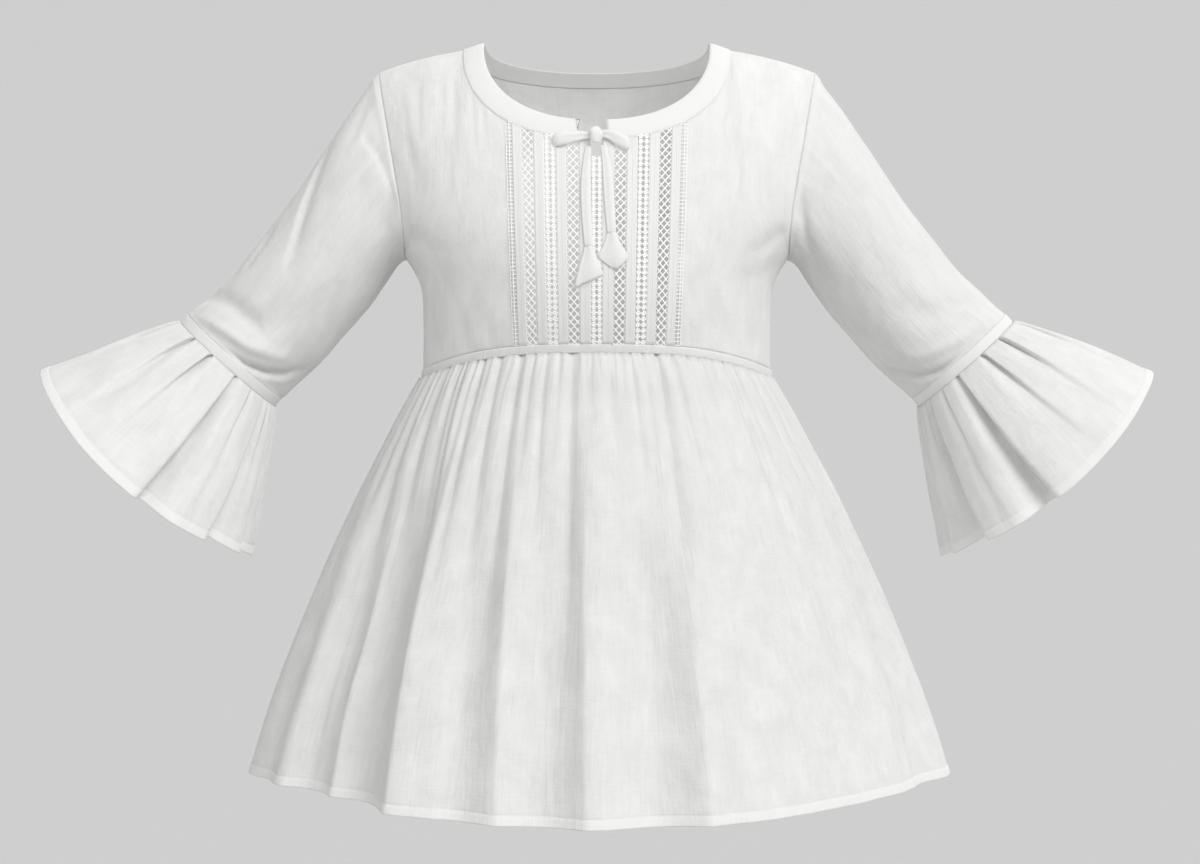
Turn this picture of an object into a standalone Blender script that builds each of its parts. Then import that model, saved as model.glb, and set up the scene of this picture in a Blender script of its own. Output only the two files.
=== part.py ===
"""Peplum top of white cotton gauze, filled out as worn and open at neck, hem and sleeve ends.

Metres, +Z up, +X to the right of someone who looks at the front, +Y to the back. The origin is
midway between the shoulder seams, at the height where the cloth rests on the wearer's shoulders.
"""

import bisect
import math
from collections import namedtuple

import bmesh
import bpy
from mathutils import Vector

# ---- cloth ----
WALL = 0.0013
NET_WALL = 0.0010
CROCHET_WALL = 0.0019
BAND_WALL = 0.0020
SEAM_GAP = 0.0003
SIDE_SEAM_GAP = 0.0008
WAIST_SEAM_GAP = 0.0005
SKIRT_SEAM_GAP = 0.0008
CLOTH_WHITE = (0.86, 0.86, 0.85, 1.0)
LACE_WHITE = (0.88, 0.88, 0.86, 1.0)
CLOTH_ROUGHNESS = 0.92
BODY_AXIS_TOP_Z = -0.06

# ---- neck and shoulders ----
NECK_HALF_WIDTH = 0.1214
NECK_CURVE = 2.3
FRONT_NECK_TURNS = (52.0, 64.0, 74.0, 82.0, 87.0, 90.0)
BACK_NECK_TURNS = (20.0, 40.0, 58.0, 72.0, 82.0, 88.0, 90.0)
FRONT_NECK_DROP = 0.0912
BACK_NECK_DROP = 0.0265
FRONT_ROUNDING = 0.100
BACK_ROUNDING = 0.110
RIDGE_RISE = 0.020
SHOULDER_TIP_X = 0.2006
SHOULDER_TIP_Z = -0.0212
SHOULDER_STRAIGHT_SHARE = 0.62
SHOULDER_FALL_POWER = 2.4
SHOULDER_COLUMNS = 3
RIDGE_CLEARANCE = 0.000002
CHEST_SQUARENESS = 0.9

# ---- neckband ----
BAND_INNER_SCALE = 0.848
BAND_SHOULDER_RISE = 0.006
BAND_FRONT_RISE = 0.0179
BAND_BACK_RISE = 0.0123
BAND_FRONT_LEAN = 0.93
BAND_BACK_LEAN = 0.86
NOTCH_LEFT_X = -0.0143
NOTCH_RIGHT_X = 0.0098
NOTCH_SLANT = 0.007
KEYHOLE_BOTTOM_Z = -0.1072

# ---- armhole and side seam ----
ARMPIT_Z = -0.1923
SIDE_ROWS = 4
ARMHOLE_TURNS = (164.0, 149.0, 134.0, 119.0, 104.0, 89.0, 74.0, 60.0, 46.0, 32.0, 19.0, 8.0, 0.0)
ARMHOLE_EASE = 0.0013
SHOULDER_EASE = 0.0012

# ---- waist seam ----
WAIST_CENTRE_Z = -0.2741
WAIST_SIDE_DROP = 0.0212
BACK_WAIST_CENTRE_Z = -0.2880
WAIST_ARCH_POWER = 3.0
WAIST_BAND_HEIGHT = 0.0068
WAIST_BAND_PROUD = 0.0007
WAIST_BAND_COLUMNS = 104

# ---- skirt ----
GATHERS_EACH_PANEL = 26
GATHER_DEPTH = 0.0024
GATHER_SHORTEST = 0.20
GATHER_REACH_SPREAD = 0.22
GATHER_REACH_STEP = 2.4
FOLD_FADE = 0.65
SIDE_TAPER = 0.12
SKIRT_ROWS = (0.0, 0.035, 0.08, 0.14, 0.21, 0.29, 0.38, 0.48, 0.58, 0.68, 0.78, 0.89, 1.0)
FRONT_HEM_DROP = 0.0295
HEM_SWAY = 0.0015
BACK_HEM_DROP = 0.0220

# ---- sleeves, cuff bands and flounces ----
CUFF_OUTER = (0.3790, -0.2466)
CUFF_INNER = (0.2935, -0.3238)
CUFF_DEPTH = 0.0560
CUFF_BAND_PROUD = 1.012
CUFF_BAND_WIDTH = 0.0090
CUFF_COLUMNS = 24
ARMHOLE_BLEND_RINGS = 3
ARMHOLE_BLEND_POWER = 1.5
FLOUNCE_HEM_OUTER = (0.4965, -0.3060)
FLOUNCE_HEM_INNER = (0.3300, -0.4540)
FLOUNCE_HEM_DEPTH = 0.1080
FLOUNCE_SAG = 0.020
FLOUNCE_BELL = 0.84
FLOUNCE_PLEATS = 10
FLOUNCE_COLUMNS_EACH = 5
FLOUNCE_ROWS = (0.0, 0.10, 0.25, 0.43, 0.62, 0.81, 1.0)
PLEAT_AT_BAND = 0.0016
PLEAT_AT_HEM = 0.0130
PLEAT_SKEW = 9.0
PLEAT_SHARPNESS = 0.25
PLEAT_GROWTH = 1.1
PLEAT_DRIFT = 0.9
PLEAT_DRIFT_CYCLES = 3
SAG_GROWTH = 1.5

# ---- bib strips, from the centre out ----
BIB_TOP_SCALE = 1.040
BIB_BOTTOM_SCALE = 0.955
BIB_ROWS = 10
SEAM_TRIES = 6

# ---- tie ----
TIE_THICKNESS = 0.0022
TIE_CLEARANCE = 0.0014
TIE_CORNERS = 8
KNOT_SEGMENTS = (12, 8)
LOOP_CLEARANCE = 0.0021
KNOT_SIZE = (0.0110, 0.0080, 0.0150)
KNOT_CENTRE_X = -0.0008
KNOT_CENTRE_Z = -0.0885

TorsoRow = namedtuple("TorsoRow", "z half_width front back")
TORSO = (
    TorsoRow(-0.315, 0.1600, 0.1150, 0.0970),
    TorsoRow(-0.280, 0.1592, 0.1260, 0.0985),
    TorsoRow(-0.250, 0.1592, 0.1370, 0.1010),
    TorsoRow(-0.215, 0.1625, 0.1435, 0.1040),
    TorsoRow(-0.192, 0.1755, 0.1430, 0.1060),
    TorsoRow(-0.165, 0.1940, 0.1395, 0.1070),
    TorsoRow(-0.130, 0.2050, 0.1310, 0.1070),
    TorsoRow(-0.095, 0.2130, 0.1195, 0.1060),
    TorsoRow(-0.060, 0.2190, 0.1075, 0.1030),
    TorsoRow(-0.020, 0.2250, 0.0980, 0.0970),
    TorsoRow(0.020, 0.2280, 0.0940, 0.0940),
)

ArmholeRow = namedtuple("ArmholeRow", "z x")
ARMHOLE = (
    ArmholeRow(-0.1923, 0.1755),
    ArmholeRow(-0.1750, 0.1745),
    ArmholeRow(-0.1527, 0.1765),
    ArmholeRow(-0.1279, 0.1805),
    ArmholeRow(-0.0948, 0.1865),
    ArmholeRow(-0.0552, 0.1940),
    ArmholeRow(-0.0212, 0.2006),
)

SkirtRow = namedtuple("SkirtRow", "side_z half_width front back")
SKIRT = (
    SkirtRow(-0.3026, 0.1608, 0.1165, 0.0980),
    SkirtRow(-0.3183, 0.1707, 0.1290, 0.1120),
    SkirtRow(-0.3404, 0.1840, 0.1410, 0.1260),
    SkirtRow(-0.3625, 0.1960, 0.1510, 0.1370),
    SkirtRow(-0.3956, 0.2130, 0.1640, 0.1520),
    SkirtRow(-0.4287, 0.2290, 0.1750, 0.1640),
    SkirtRow(-0.4618, 0.2447, 0.1850, 0.1760),
    SkirtRow(-0.5060, 0.2640, 0.1990, 0.1910),
    SkirtRow(-0.5502, 0.2824, 0.2120, 0.2050),
    SkirtRow(-0.5943, 0.2990, 0.2240, 0.2190),
    SkirtRow(-0.6274, 0.3100, 0.2320, 0.2280),
    SkirtRow(-0.6620, 0.3206, 0.2400, 0.2370),
)

# A soft fold of the skirt: the turn from the panel's middle at its top and hem, in degrees,
# its depth at the hem, its half width in degrees, and how far down the skirt it begins.
Fold = namedtuple("Fold", "top_turn hem_turn depth half_width begins")
FRONT_FOLDS = (
    Fold(-76.0, -71.0, 0.012, 6.5, 0.15),
    Fold(-62.0, -53.0, 0.015, 6.0, 0.08),
    Fold(-46.0, -38.0, 0.019, 6.5, 0.03),
    Fold(-25.0, -20.0, 0.017, 6.5, 0.05),
    Fold(-7.0, -4.5, 0.017, 6.0, 0.10),
    Fold(12.0, 13.6, 0.017, 6.0, 0.10),
    Fold(25.0, 26.5, 0.008, 5.0, 0.30),
    Fold(39.0, 38.0, 0.011, 6.0, 0.22),
    Fold(54.0, 51.0, 0.012, 6.0, 0.15),
    Fold(71.0, 67.5, 0.012, 6.5, 0.15),
)
BACK_FOLDS = (
    Fold(-74.0, -69.0, 0.012, 6.5, 0.15),
    Fold(-57.0, -51.0, 0.014, 6.0, 0.10),
    Fold(-38.0, -33.0, 0.017, 6.5, 0.05),
    Fold(-20.0, -17.0, 0.014, 6.0, 0.12),
    Fold(0.0, 0.5, 0.017, 6.5, 0.06),
    Fold(19.0, 17.5, 0.013, 6.0, 0.16),
    Fold(37.0, 33.5, 0.017, 6.5, 0.05),
    Fold(56.0, 51.0, 0.013, 6.0, 0.14),
    Fold(75.0, 69.5, 0.012, 6.5, 0.12),
)

# A ring of the sleeve: its outer and inner edges seen from the front, and its half depth.
SleeveRow = namedtuple("SleeveRow", "outer_x outer_z inner_x inner_z depth")
SLEEVE = (
    SleeveRow(0.2006, -0.0212, 0.1755, -0.1923, 0.0610),
    SleeveRow(0.2220, -0.0500, 0.1850, -0.2000, 0.0640),
    SleeveRow(0.2420, -0.0800, 0.1946, -0.2150, 0.0655),
    SleeveRow(0.2640, -0.1130, 0.2075, -0.2350, 0.0655),
    SleeveRow(0.2870, -0.1465, 0.2245, -0.2550, 0.0640),
    SleeveRow(0.3100, -0.1770, 0.2440, -0.2760, 0.0620),
    SleeveRow(0.3330, -0.2050, 0.2640, -0.2970, 0.0595),
    SleeveRow(0.3560, -0.2260, 0.2800, -0.3110, 0.0575),
)

# A soft crease of the sleeve: its place in rings from the armhole, its turn from the top in
# degrees, minus towards the back, its depth, and its half length in rings and half width in turn.
Crease = namedtuple("Crease", "ring turn depth half_rings half_turn")
SLEEVE_CREASES = (
    Crease(1.6, 62.0, 0.0035, 0.9, 24.0),
    Crease(3.6, 88.0, 0.0040, 0.9, 26.0),
    Crease(5.2, 55.0, 0.0045, 0.8, 24.0),
    Crease(6.6, 108.0, 0.0045, 0.7, 28.0),
    Crease(2.2, -70.0, 0.0035, 0.9, 24.0),
    Crease(4.4, -96.0, 0.0045, 0.9, 28.0),
    Crease(6.3, -62.0, 0.0045, 0.8, 26.0),
)

# A strip of the bib: its name, what it is made of and where its outer edge lies at mid height.
Strip = namedtuple("Strip", "name kind outer_edge")
CENTRE_STRIP_EDGE = 0.0056
BIB_SIDE_STRIPS = (
    Strip("plain_strip_inner", "plain", 0.0148),
    Strip("net_strip_inner", "net", 0.0263),
    Strip("plain_strip_middle", "plain", 0.0346),
    Strip("crochet_strip", "crochet", 0.0457),
    Strip("plain_strip_outer", "plain", 0.0537),
    Strip("net_strip_outer", "net", 0.0645),
    Strip("plain_strip_edge", "plain", 0.0718),
    Strip("crochet_edging", "crochet", 0.0776),
)
STRIP_WALL = {"plain": WALL, "net": NET_WALL, "crochet": CROCHET_WALL}
STRIP_RAISE = {"plain": 0.0, "net": -0.0001, "crochet": 0.0007}

# A station of a flat length of cloth: x and z of its middle, its width and its turn in degrees.
Station = namedtuple("Station", "x z width turn")
TAIL_LEFT = (
    Station(-0.0072, -0.0985, 0.0050, 0.0),
    Station(-0.0084, -0.1100, 0.0066, 0.0),
    Station(-0.0092, -0.1250, 0.0082, 0.0),
    Station(-0.0094, -0.1400, 0.0088, 0.0),
    Station(-0.0089, -0.1560, 0.0086, 0.0),
    Station(-0.0080, -0.1720, 0.0080, 0.0),
    Station(-0.0068, -0.1885, 0.0072, 0.0),
)
TAIL_RIGHT = (
    Station(0.0062, -0.0975, 0.0052, 0.0),
    Station(0.0082, -0.1090, 0.0068, 0.0),
    Station(0.0096, -0.1210, 0.0082, 0.0),
    Station(0.0106, -0.1350, 0.0088, 0.0),
    Station(0.0114, -0.1490, 0.0088, 0.0),
    Station(0.0124, -0.1630, 0.0082, 0.0),
    Station(0.0134, -0.1765, 0.0076, 0.0),
)
TASSEL_LEFT = (
    Station(-0.0067, -0.1893, 0.0074, 0.0),
    Station(-0.0066, -0.1960, 0.0120, 4.0),
    Station(-0.0066, -0.2060, 0.0190, 12.0),
    Station(-0.0066, -0.2165, 0.0262, 22.0),
    Station(-0.0065, -0.2186, 0.0250, 23.0),
)
TASSEL_RIGHT = (
    Station(0.0135, -0.1773, 0.0078, 0.0),
    Station(0.0138, -0.1830, 0.0125, 0.0),
    Station(0.0142, -0.1900, 0.0195, 0.0),
    Station(0.0145, -0.1970, 0.0262, 0.0),
    Station(0.0155, -0.2030, 0.0165, -3.0),
    Station(0.0163, -0.2072, 0.0040, -3.0),
)

# A station of a bow loop: distance out from the knot, drop, height and thickness.
LoopStation = namedtuple("LoopStation", "out drop height thickness")
LOOP_LEFT = (
    LoopStation(0.0051, 0.0000, 0.0058, 0.0044),
    LoopStation(0.0120, 0.0004, 0.0076, 0.0048),
    LoopStation(0.0200, 0.0015, 0.0098, 0.0052),
    LoopStation(0.0280, 0.0026, 0.0122, 0.0052),
    LoopStation(0.0335, 0.0034, 0.0124, 0.0046),
    LoopStation(0.0372, 0.0036, 0.0086, 0.0030),
)
LOOP_RIGHT = (
    LoopStation(0.0046, -0.0016, 0.0060, 0.0044),
    LoopStation(0.0110, -0.0006, 0.0088, 0.0048),
    LoopStation(0.0170, 0.0022, 0.0114, 0.0052),
    LoopStation(0.0230, 0.0048, 0.0126, 0.0052),
    LoopStation(0.0270, 0.0066, 0.0118, 0.0046),
    LoopStation(0.0296, 0.0074, 0.0088, 0.0030),
)


# ---- curves through tables ----
def smooth(rows, key, value):
    """A smooth function that passes through one column of a table, against another column."""
    ordered = sorted(rows, key=lambda row: getattr(row, key))
    at = [getattr(row, key) for row in ordered]
    to = [getattr(row, value) for row in ordered]
    steps = [(b - a) / (q - p) for a, b, p, q in zip(to, to[1:], at, at[1:])]
    slopes = [steps[0]] + [(a + b) / 2 for a, b in zip(steps, steps[1:])] + [steps[-1]]

    def read(x):
        x = min(max(x, at[0]), at[-1])
        i = min(bisect.bisect_right(at, x), len(at) - 1) - 1
        span = at[i + 1] - at[i]
        t = (x - at[i]) / span
        rise = to[i + 1] - to[i]
        from_start = t * (1 - t) ** 2 * slopes[i] * span
        from_end = t * t * (t - 1) * slopes[i + 1] * span
        return to[i] + rise * t * t * (3 - 2 * t) + from_start + from_end

    return read


def mix(a, b, t):
    return a + (b - a) * t


def fade(x, start, end):
    t = min(max((x - start) / (end - start), 0.0), 1.0)
    return t * t * (3 - 2 * t)


torso_half_width = smooth(TORSO, "z", "half_width")
torso_front = smooth(TORSO, "z", "front")
torso_back = smooth(TORSO, "z", "back")
armhole_x = smooth(ARMHOLE, "z", "x")
skirt_half_width = smooth(SKIRT, "side_z", "half_width")
skirt_front = smooth(SKIRT, "side_z", "front")
skirt_back = smooth(SKIRT, "side_z", "back")


# ---- the body of the garment: one smooth surface that all the bodice pieces are cut from ----
def ridge_z(x):
    """Height of the shoulder line at a distance from the middle."""
    x = abs(x)
    if x < NECK_HALF_WIDTH:
        return RIDGE_RISE * (1 - (x / NECK_HALF_WIDTH) ** 2)
    t = (x - NECK_HALF_WIDTH) / (SHOULDER_TIP_X - NECK_HALF_WIDTH)
    return SHOULDER_TIP_Z * mix(t ** SHOULDER_FALL_POWER, t, SHOULDER_STRAIGHT_SHARE)


def bodice_point(x, z, front, raised=0.0):
    """The point of the bodice surface at x and z, on its front or its back."""
    across = min(abs(x) / torso_half_width(z), 1.0)
    depth = torso_front(z) if front else torso_back(z)
    rounding = FRONT_ROUNDING if front else BACK_ROUNDING
    below = min(max((ridge_z(x) - z) / rounding, 0.0), 1.0)
    crown = math.sqrt(1 - (1 - below) ** 2)
    y = depth * math.sqrt(1 - across * across) ** CHEST_SQUARENESS * crown + raised
    return Vector((x, -y if front else y, z))


def turned_point(turn, z, front, raised=0.0):
    """The same point, from its turn about the body's axis in radians."""
    point = bodice_point(torso_half_width(z) * math.sin(turn), z, front, raised)
    point.x += raised * math.sin(turn)
    return point


def turn_of(x, z):
    return math.asin(max(-1.0, min(1.0, x / torso_half_width(z))))


def neck_z(x, front):
    drop = FRONT_NECK_DROP if front else BACK_NECK_DROP
    inside = max(0.0, 1 - (abs(x) / NECK_HALF_WIDTH) ** NECK_CURVE)
    return -drop * inside ** (1 / NECK_CURVE)


def waist_z(turn, front):
    """Height of the top of the waist band."""
    side = WAIST_CENTRE_Z - WAIST_SIDE_DROP
    centre = WAIST_CENTRE_Z if front else BACK_WAIST_CENTRE_Z
    return centre + (side - centre) * abs(math.sin(turn)) ** WAIST_ARCH_POWER


def bib_edge_x(edge, z):
    """A strip's edge at a height: the bib narrows a little from the neck to the waist."""
    t = (z - WAIST_CENTRE_Z) / (-FRONT_NECK_DROP - WAIST_CENTRE_Z)
    return edge * mix(BIB_BOTTOM_SCALE, BIB_TOP_SCALE, t)


BIB_HALF = BIB_SIDE_STRIPS[-1].outer_edge


def bib_top(edge):
    """x and z where a strip's edge meets the neck seam."""
    x = bib_edge_x(edge, -FRONT_NECK_DROP)
    for _ in range(SEAM_TRIES):
        x = bib_edge_x(edge, neck_z(x, True))
    return x, neck_z(x, True)


def bib_bottom(edge):
    x = bib_edge_x(edge, WAIST_CENTRE_Z)
    z = waist_z(turn_of(x, WAIST_CENTRE_Z), True)
    return bib_edge_x(edge, z), z


def neck_side_stations(front):
    """x and z down the side of the neckline, from the bib or the back's middle to the shoulder."""
    drop = FRONT_NECK_DROP if front else BACK_NECK_DROP
    start = bib_top(BIB_HALF) if front else (0.0, -BACK_NECK_DROP)
    stations = [start]
    for turn in FRONT_NECK_TURNS if front else BACK_NECK_TURNS:
        x = NECK_HALF_WIDTH * math.sin(math.radians(turn)) ** (2 / NECK_CURVE)
        z = -drop * math.cos(math.radians(turn)) ** (2 / NECK_CURVE)
        stations.append((x, z))
    return stations


# ---- making objects ----
def new_material(name, colour):
    material = bpy.data.materials.new(name)
    material.use_nodes = True
    shader = material.node_tree.nodes["Principled BSDF"]
    shader.inputs["Base Color"].default_value = colour
    shader.inputs["Roughness"].default_value = CLOTH_ROUGHNESS
    shader.inputs["Metallic"].default_value = 0.0
    material.diffuse_color = colour
    return material


def add_object(name, bm, colour):
    mesh = bpy.data.meshes.new(name)
    bm.to_mesh(mesh)
    bm.free()
    obj = bpy.data.objects.new(name, mesh)
    mesh.materials.append(new_material(name, colour))
    bpy.data.collections["peplum_top"].objects.link(obj)
    return obj


def cloth(name, sections, inside, wall=WALL, closed=False, colour=CLOTH_WHITE):
    """An open sheet through rows of points, thickened towards the inside of the garment."""
    bm = bmesh.new()
    rows = [[bm.verts.new(point) for point in section] for section in sections]
    for lower, upper in zip(rows, rows[1:]):
        count = len(lower)
        for i in range(count if closed else count - 1):
            j = (i + 1) % count
            bm.faces.new((lower[i], lower[j], upper[j], upper[i]))
    bm.normal_update()
    outward = sum(
        face.normal.dot(face.calc_center_median() - inside(face.calc_center_median()))
        for face in bm.faces
    )
    if outward < 0:
        bmesh.ops.reverse_faces(bm, faces=bm.faces[:])
    obj = add_object(name, bm, colour)
    shell = obj.modifiers.new("cloth", "SOLIDIFY")
    shell.thickness = wall
    shell.offset = -1.0
    shell.use_even_offset = False
    return obj


def body_axis(point):
    return Vector((0.0, 0.0, min(point.z, BODY_AXIS_TOP_Z)))


def loft(name, rings):
    """A closed solid through rings of points, with its ends closed."""
    bm = bmesh.new()
    rows = [[bm.verts.new(point) for point in ring] for ring in rings]
    for lower, upper in zip(rows, rows[1:]):
        for i, first in enumerate(lower):
            j = (i + 1) % len(lower)
            bm.faces.new((first, lower[j], upper[j], upper[i]))
    bm.faces.new(list(reversed(rows[0])))
    bm.faces.new(rows[-1])
    bmesh.ops.recalc_face_normals(bm, faces=bm.faces[:])
    return add_object(name, bm, CLOTH_WHITE)


# ---- bodice ----
def make_bib_strip(name, kind, inner_edge, outer_edge, side):
    columns = []
    for edge, nudge in ((inner_edge, SEAM_GAP / 2), (outer_edge, -SEAM_GAP / 2)):
        top_x, top_z = bib_top(edge)
        bottom_x, bottom_z = bib_bottom(edge)
        if inner_edge < 0:
            top_z = KEYHOLE_BOTTOM_Z
            nudge = math.copysign(SEAM_GAP / 2, -edge)
        column = []
        for row in range(BIB_ROWS + 1):
            z = mix(bottom_z + WAIST_SEAM_GAP, top_z - SEAM_GAP, row / BIB_ROWS)
            x = side * (bib_edge_x(edge, z) + nudge)
            column.append(bodice_point(x, z, True, STRIP_RAISE[kind]))
        columns.append(column)
    sections = list(zip(*columns))
    colour = CLOTH_WHITE if kind == "plain" else LACE_WHITE
    cloth(name, sections, body_axis, wall=STRIP_WALL[kind], colour=colour)


def make_bib():
    make_bib_strip("centre_crochet_strip", "crochet", -CENTRE_STRIP_EDGE, CENTRE_STRIP_EDGE, 1)
    for side, word in ((-1, "left"), (1, "right")):
        inner = CENTRE_STRIP_EDGE
        for strip in BIB_SIDE_STRIPS:
            make_bib_strip(f"{strip.name}_{word}", strip.kind, inner, strip.outer_edge, side)
            inner = strip.outer_edge


def armhole_z(turn):
    """Height on the armhole at a turn from its top, in degrees."""
    middle = (SHOULDER_TIP_Z + ARMPIT_Z) / 2
    return middle + (SHOULDER_TIP_Z - ARMPIT_Z) / 2 * math.cos(math.radians(turn))


def side_heights():
    """Heights up the side seam and then up the armhole, from the waist to the shoulder tip."""
    bottom = WAIST_CENTRE_Z - WAIST_SIDE_DROP + WAIST_SEAM_GAP
    seam = [mix(bottom, ARMPIT_Z, row / SIDE_ROWS) for row in range(SIDE_ROWS + 1)]
    return seam + [armhole_z(turn) for turn in ARMHOLE_TURNS]


def side_turn(z, front):
    """Turn of a panel's outer edge: its side seam, or its armhole above that."""
    depth = torso_front(z) if front else torso_back(z)
    seam = math.pi / 2 - (SIDE_SEAM_GAP / 2 / depth) ** (1 / CHEST_SQUARENESS)
    return seam if z <= ARMPIT_Z else min(seam, turn_of(armhole_x(z), z))


def patch(left, right, bottom, top, shares):
    """Rows of (turn, z) between four edges: shares gives each row's height share."""
    rows = []
    last = len(bottom) - 1
    for row, share in enumerate(shares):
        points = []
        for column in range(last + 1):
            s = column / last
            point = []
            for k in (0, 1):
                sides = mix(left[row][k], right[row][k], s)
                ends = mix(bottom[column][k], top[column][k], share)
                low = mix(bottom[0][k], bottom[last][k], s)
                high = mix(top[0][k], top[last][k], s)
                point.append(sides + ends - mix(low, high, share))
            points.append(point)
        rows.append(points)
    return rows


def shoulder_stations(front):
    """(turn, z) along the shoulder seam, from the neck out to the tip."""
    found = []
    for step in range(SHOULDER_COLUMNS + 1):
        x = mix(NECK_HALF_WIDTH + SEAM_GAP, SHOULDER_TIP_X, step / SHOULDER_COLUMNS)
        z = ridge_z(x) - RIDGE_CLEARANCE
        found.append((turn_of(x, z), z))
    return found


def make_front(side, word):
    heights = side_heights()
    shares = [(z - heights[0]) / (heights[-1] - heights[0]) for z in heights]
    right = [(side_turn(z, True), z) for z in heights]
    neck = [(x, z - SEAM_GAP) for x, z in neck_side_stations(True)]
    neck[0] = (neck[0][0] + SEAM_GAP / 2, neck[0][1])
    top = [(turn_of(x, z), z) for x, z in neck[:-1]]
    top = top + shoulder_stations(True)
    bib_bottom_z = bib_bottom(BIB_HALF)[1] + WAIST_SEAM_GAP
    left = []
    for share in shares:
        z = mix(bib_bottom_z, neck[0][1], share)
        left.append((turn_of(bib_edge_x(BIB_HALF, z) + SEAM_GAP / 2, z), z))
    bottom = []
    for column in range(len(top)):
        turn = mix(left[0][0], right[0][0], column / (len(top) - 1))
        bottom.append((turn, waist_z(turn, True) + WAIST_SEAM_GAP))
    right[-1] = top[-1]
    left[-1] = top[0]
    rows = patch(left, right, bottom, top, shares)
    sections = [[turned_point(side * turn, z, True) for turn, z in row] for row in rows[::side]]
    cloth(f"bodice_front_{word}", sections, body_axis)


def make_back():
    heights = side_heights()
    shares = [(z - heights[0]) / (heights[-1] - heights[0]) for z in heights]
    half_neck = [(x, z - SEAM_GAP) for x, z in neck_side_stations(False)[:-1]]
    half_top = [(turn_of(x, z), z) for x, z in half_neck] + shoulder_stations(False)
    top = [(-turn, z) for turn, z in reversed(half_top[1:])] + half_top
    right = [(side_turn(z, False), z) for z in heights]
    right[-1] = top[-1]
    left = [(-turn, z) for turn, z in right]
    bottom = []
    for column in range(len(top)):
        turn = mix(left[0][0], right[0][0], column / (len(top) - 1))
        bottom.append((turn, waist_z(turn, False) + WAIST_SEAM_GAP))
    rows = patch(left, right, bottom, top, shares)
    sections = [[turned_point(turn, z, False) for turn, z in row] for row in rows]
    cloth("bodice_back", sections, body_axis)


def neck_stations():
    """(x, z, front) round the neck seam, from the notch's left side round the back to its right."""
    strips = [bib_top(strip.outer_edge) for strip in BIB_SIDE_STRIPS[:-1]]
    front_side = strips + neck_side_stations(True)
    back_side = neck_side_stations(False)
    left_front = [(-x, z, True) for x, z in front_side if x > -NOTCH_LEFT_X]
    right_front = [(x, z, True) for x, z in front_side if x > NOTCH_RIGHT_X]
    left_back = [(-x, z, False) for x, z in reversed(back_side[1:-1])]
    right_back = [(x, z, False) for x, z in back_side[:-1]]
    start = [(NOTCH_LEFT_X, neck_z(NOTCH_LEFT_X, True), True)]
    end = [(NOTCH_RIGHT_X, neck_z(NOTCH_RIGHT_X, True), True)]
    return start + left_front + left_back + right_back + list(reversed(right_front)) + end


def make_neckband():
    outer = []
    inner = []
    for x, z, front in neck_stations():
        seam = bodice_point(x, z, front)
        rise = BAND_FRONT_RISE if front else BAND_BACK_RISE
        drop = FRONT_NECK_DROP if front else BACK_NECK_DROP
        lean = BAND_FRONT_LEAN if front else BAND_BACK_LEAN
        lift = mix(BAND_SHOULDER_RISE, rise, -z / drop)
        edge = Vector((x * BAND_INNER_SCALE, seam.y * lean, z + lift))
        outer.append(seam.lerp(edge, SEAM_GAP / (edge - seam).length))
        inner.append(edge)
    inner[0].x -= NOTCH_SLANT
    cloth("neckband", [outer, inner], body_axis, wall=BAND_WALL)


def make_waist_band():
    sections = []
    for down in (WAIST_BAND_HEIGHT, 0.0):
        ring = []
        for column in range(WAIST_BAND_COLUMNS):
            turn = 2 * math.pi * column / WAIST_BAND_COLUMNS
            front = math.cos(turn) > 0
            z = waist_z(turn, front) - down
            ring.append(turned_point(turn, z, front, WAIST_BAND_PROUD))
        sections.append(ring)
    cloth("waist_band", sections, body_axis, wall=BAND_WALL, closed=True)


# ---- skirt ----
def fold_depth(turn, share, folds):
    """How far the cloth is drawn in at a turn, in degrees, and a share of the way to the hem."""
    depth = 0.0
    for fold in folds:
        off = (turn - mix(fold.top_turn, fold.hem_turn, share)) / fold.half_width
        grown = fade(share, fold.begins, fold.begins + FOLD_FADE)
        depth += fold.depth * grown * math.exp(-off * off)
    return depth


def gather_reach(column):
    """How far down the skirt a gather runs, as a share of the way to the hem."""
    return GATHER_SHORTEST + GATHER_REACH_SPREAD * (1 + math.sin(GATHER_REACH_STEP * column)) / 2


def make_skirt(front):
    folds = FRONT_FOLDS if front else BACK_FOLDS
    word = "front" if front else "back"
    columns = 2 * GATHERS_EACH_PANEL
    top_side_z = SKIRT[0].side_z
    hem_side_z = SKIRT[-1].side_z
    sections = []
    for share in SKIRT_ROWS:
        side_z = mix(top_side_z, hem_side_z, share)
        depth = skirt_front(side_z) if front else skirt_back(side_z)
        width = skirt_half_width(side_z)
        square = mix(CHEST_SQUARENESS, 1.0, share)
        edge = math.pi / 2 - (SIDE_SEAM_GAP / 2 / depth) ** (1 / square)
        section = []
        for column in range(columns + 1):
            turn = mix(-edge, edge, column / columns)
            hem_drop = FRONT_HEM_DROP if front else BACK_HEM_DROP
            hem_z = hem_side_z - hem_drop * math.cos(turn) ** 2
            seam_z = waist_z(turn, front) - WAIST_BAND_HEIGHT - SKIRT_SEAM_GAP
            gather = GATHER_DEPTH * (1 - fade(share, 0.0, gather_reach(column)))
            swell = gather if column % 2 else -gather
            taper = fade(math.cos(turn), 0.0, SIDE_TAPER)
            swell = swell * taper - fold_depth(math.degrees(turn), share, folds) * taper
            x = (width + swell) * math.sin(turn) + HEM_SWAY * share
            y = (depth + swell) * math.cos(turn) ** square
            section.append(Vector((x, -y if front else y, mix(seam_z, hem_z, share))))
        sections.append(section)
    cloth(f"skirt_{word}", sections, body_axis)


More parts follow.
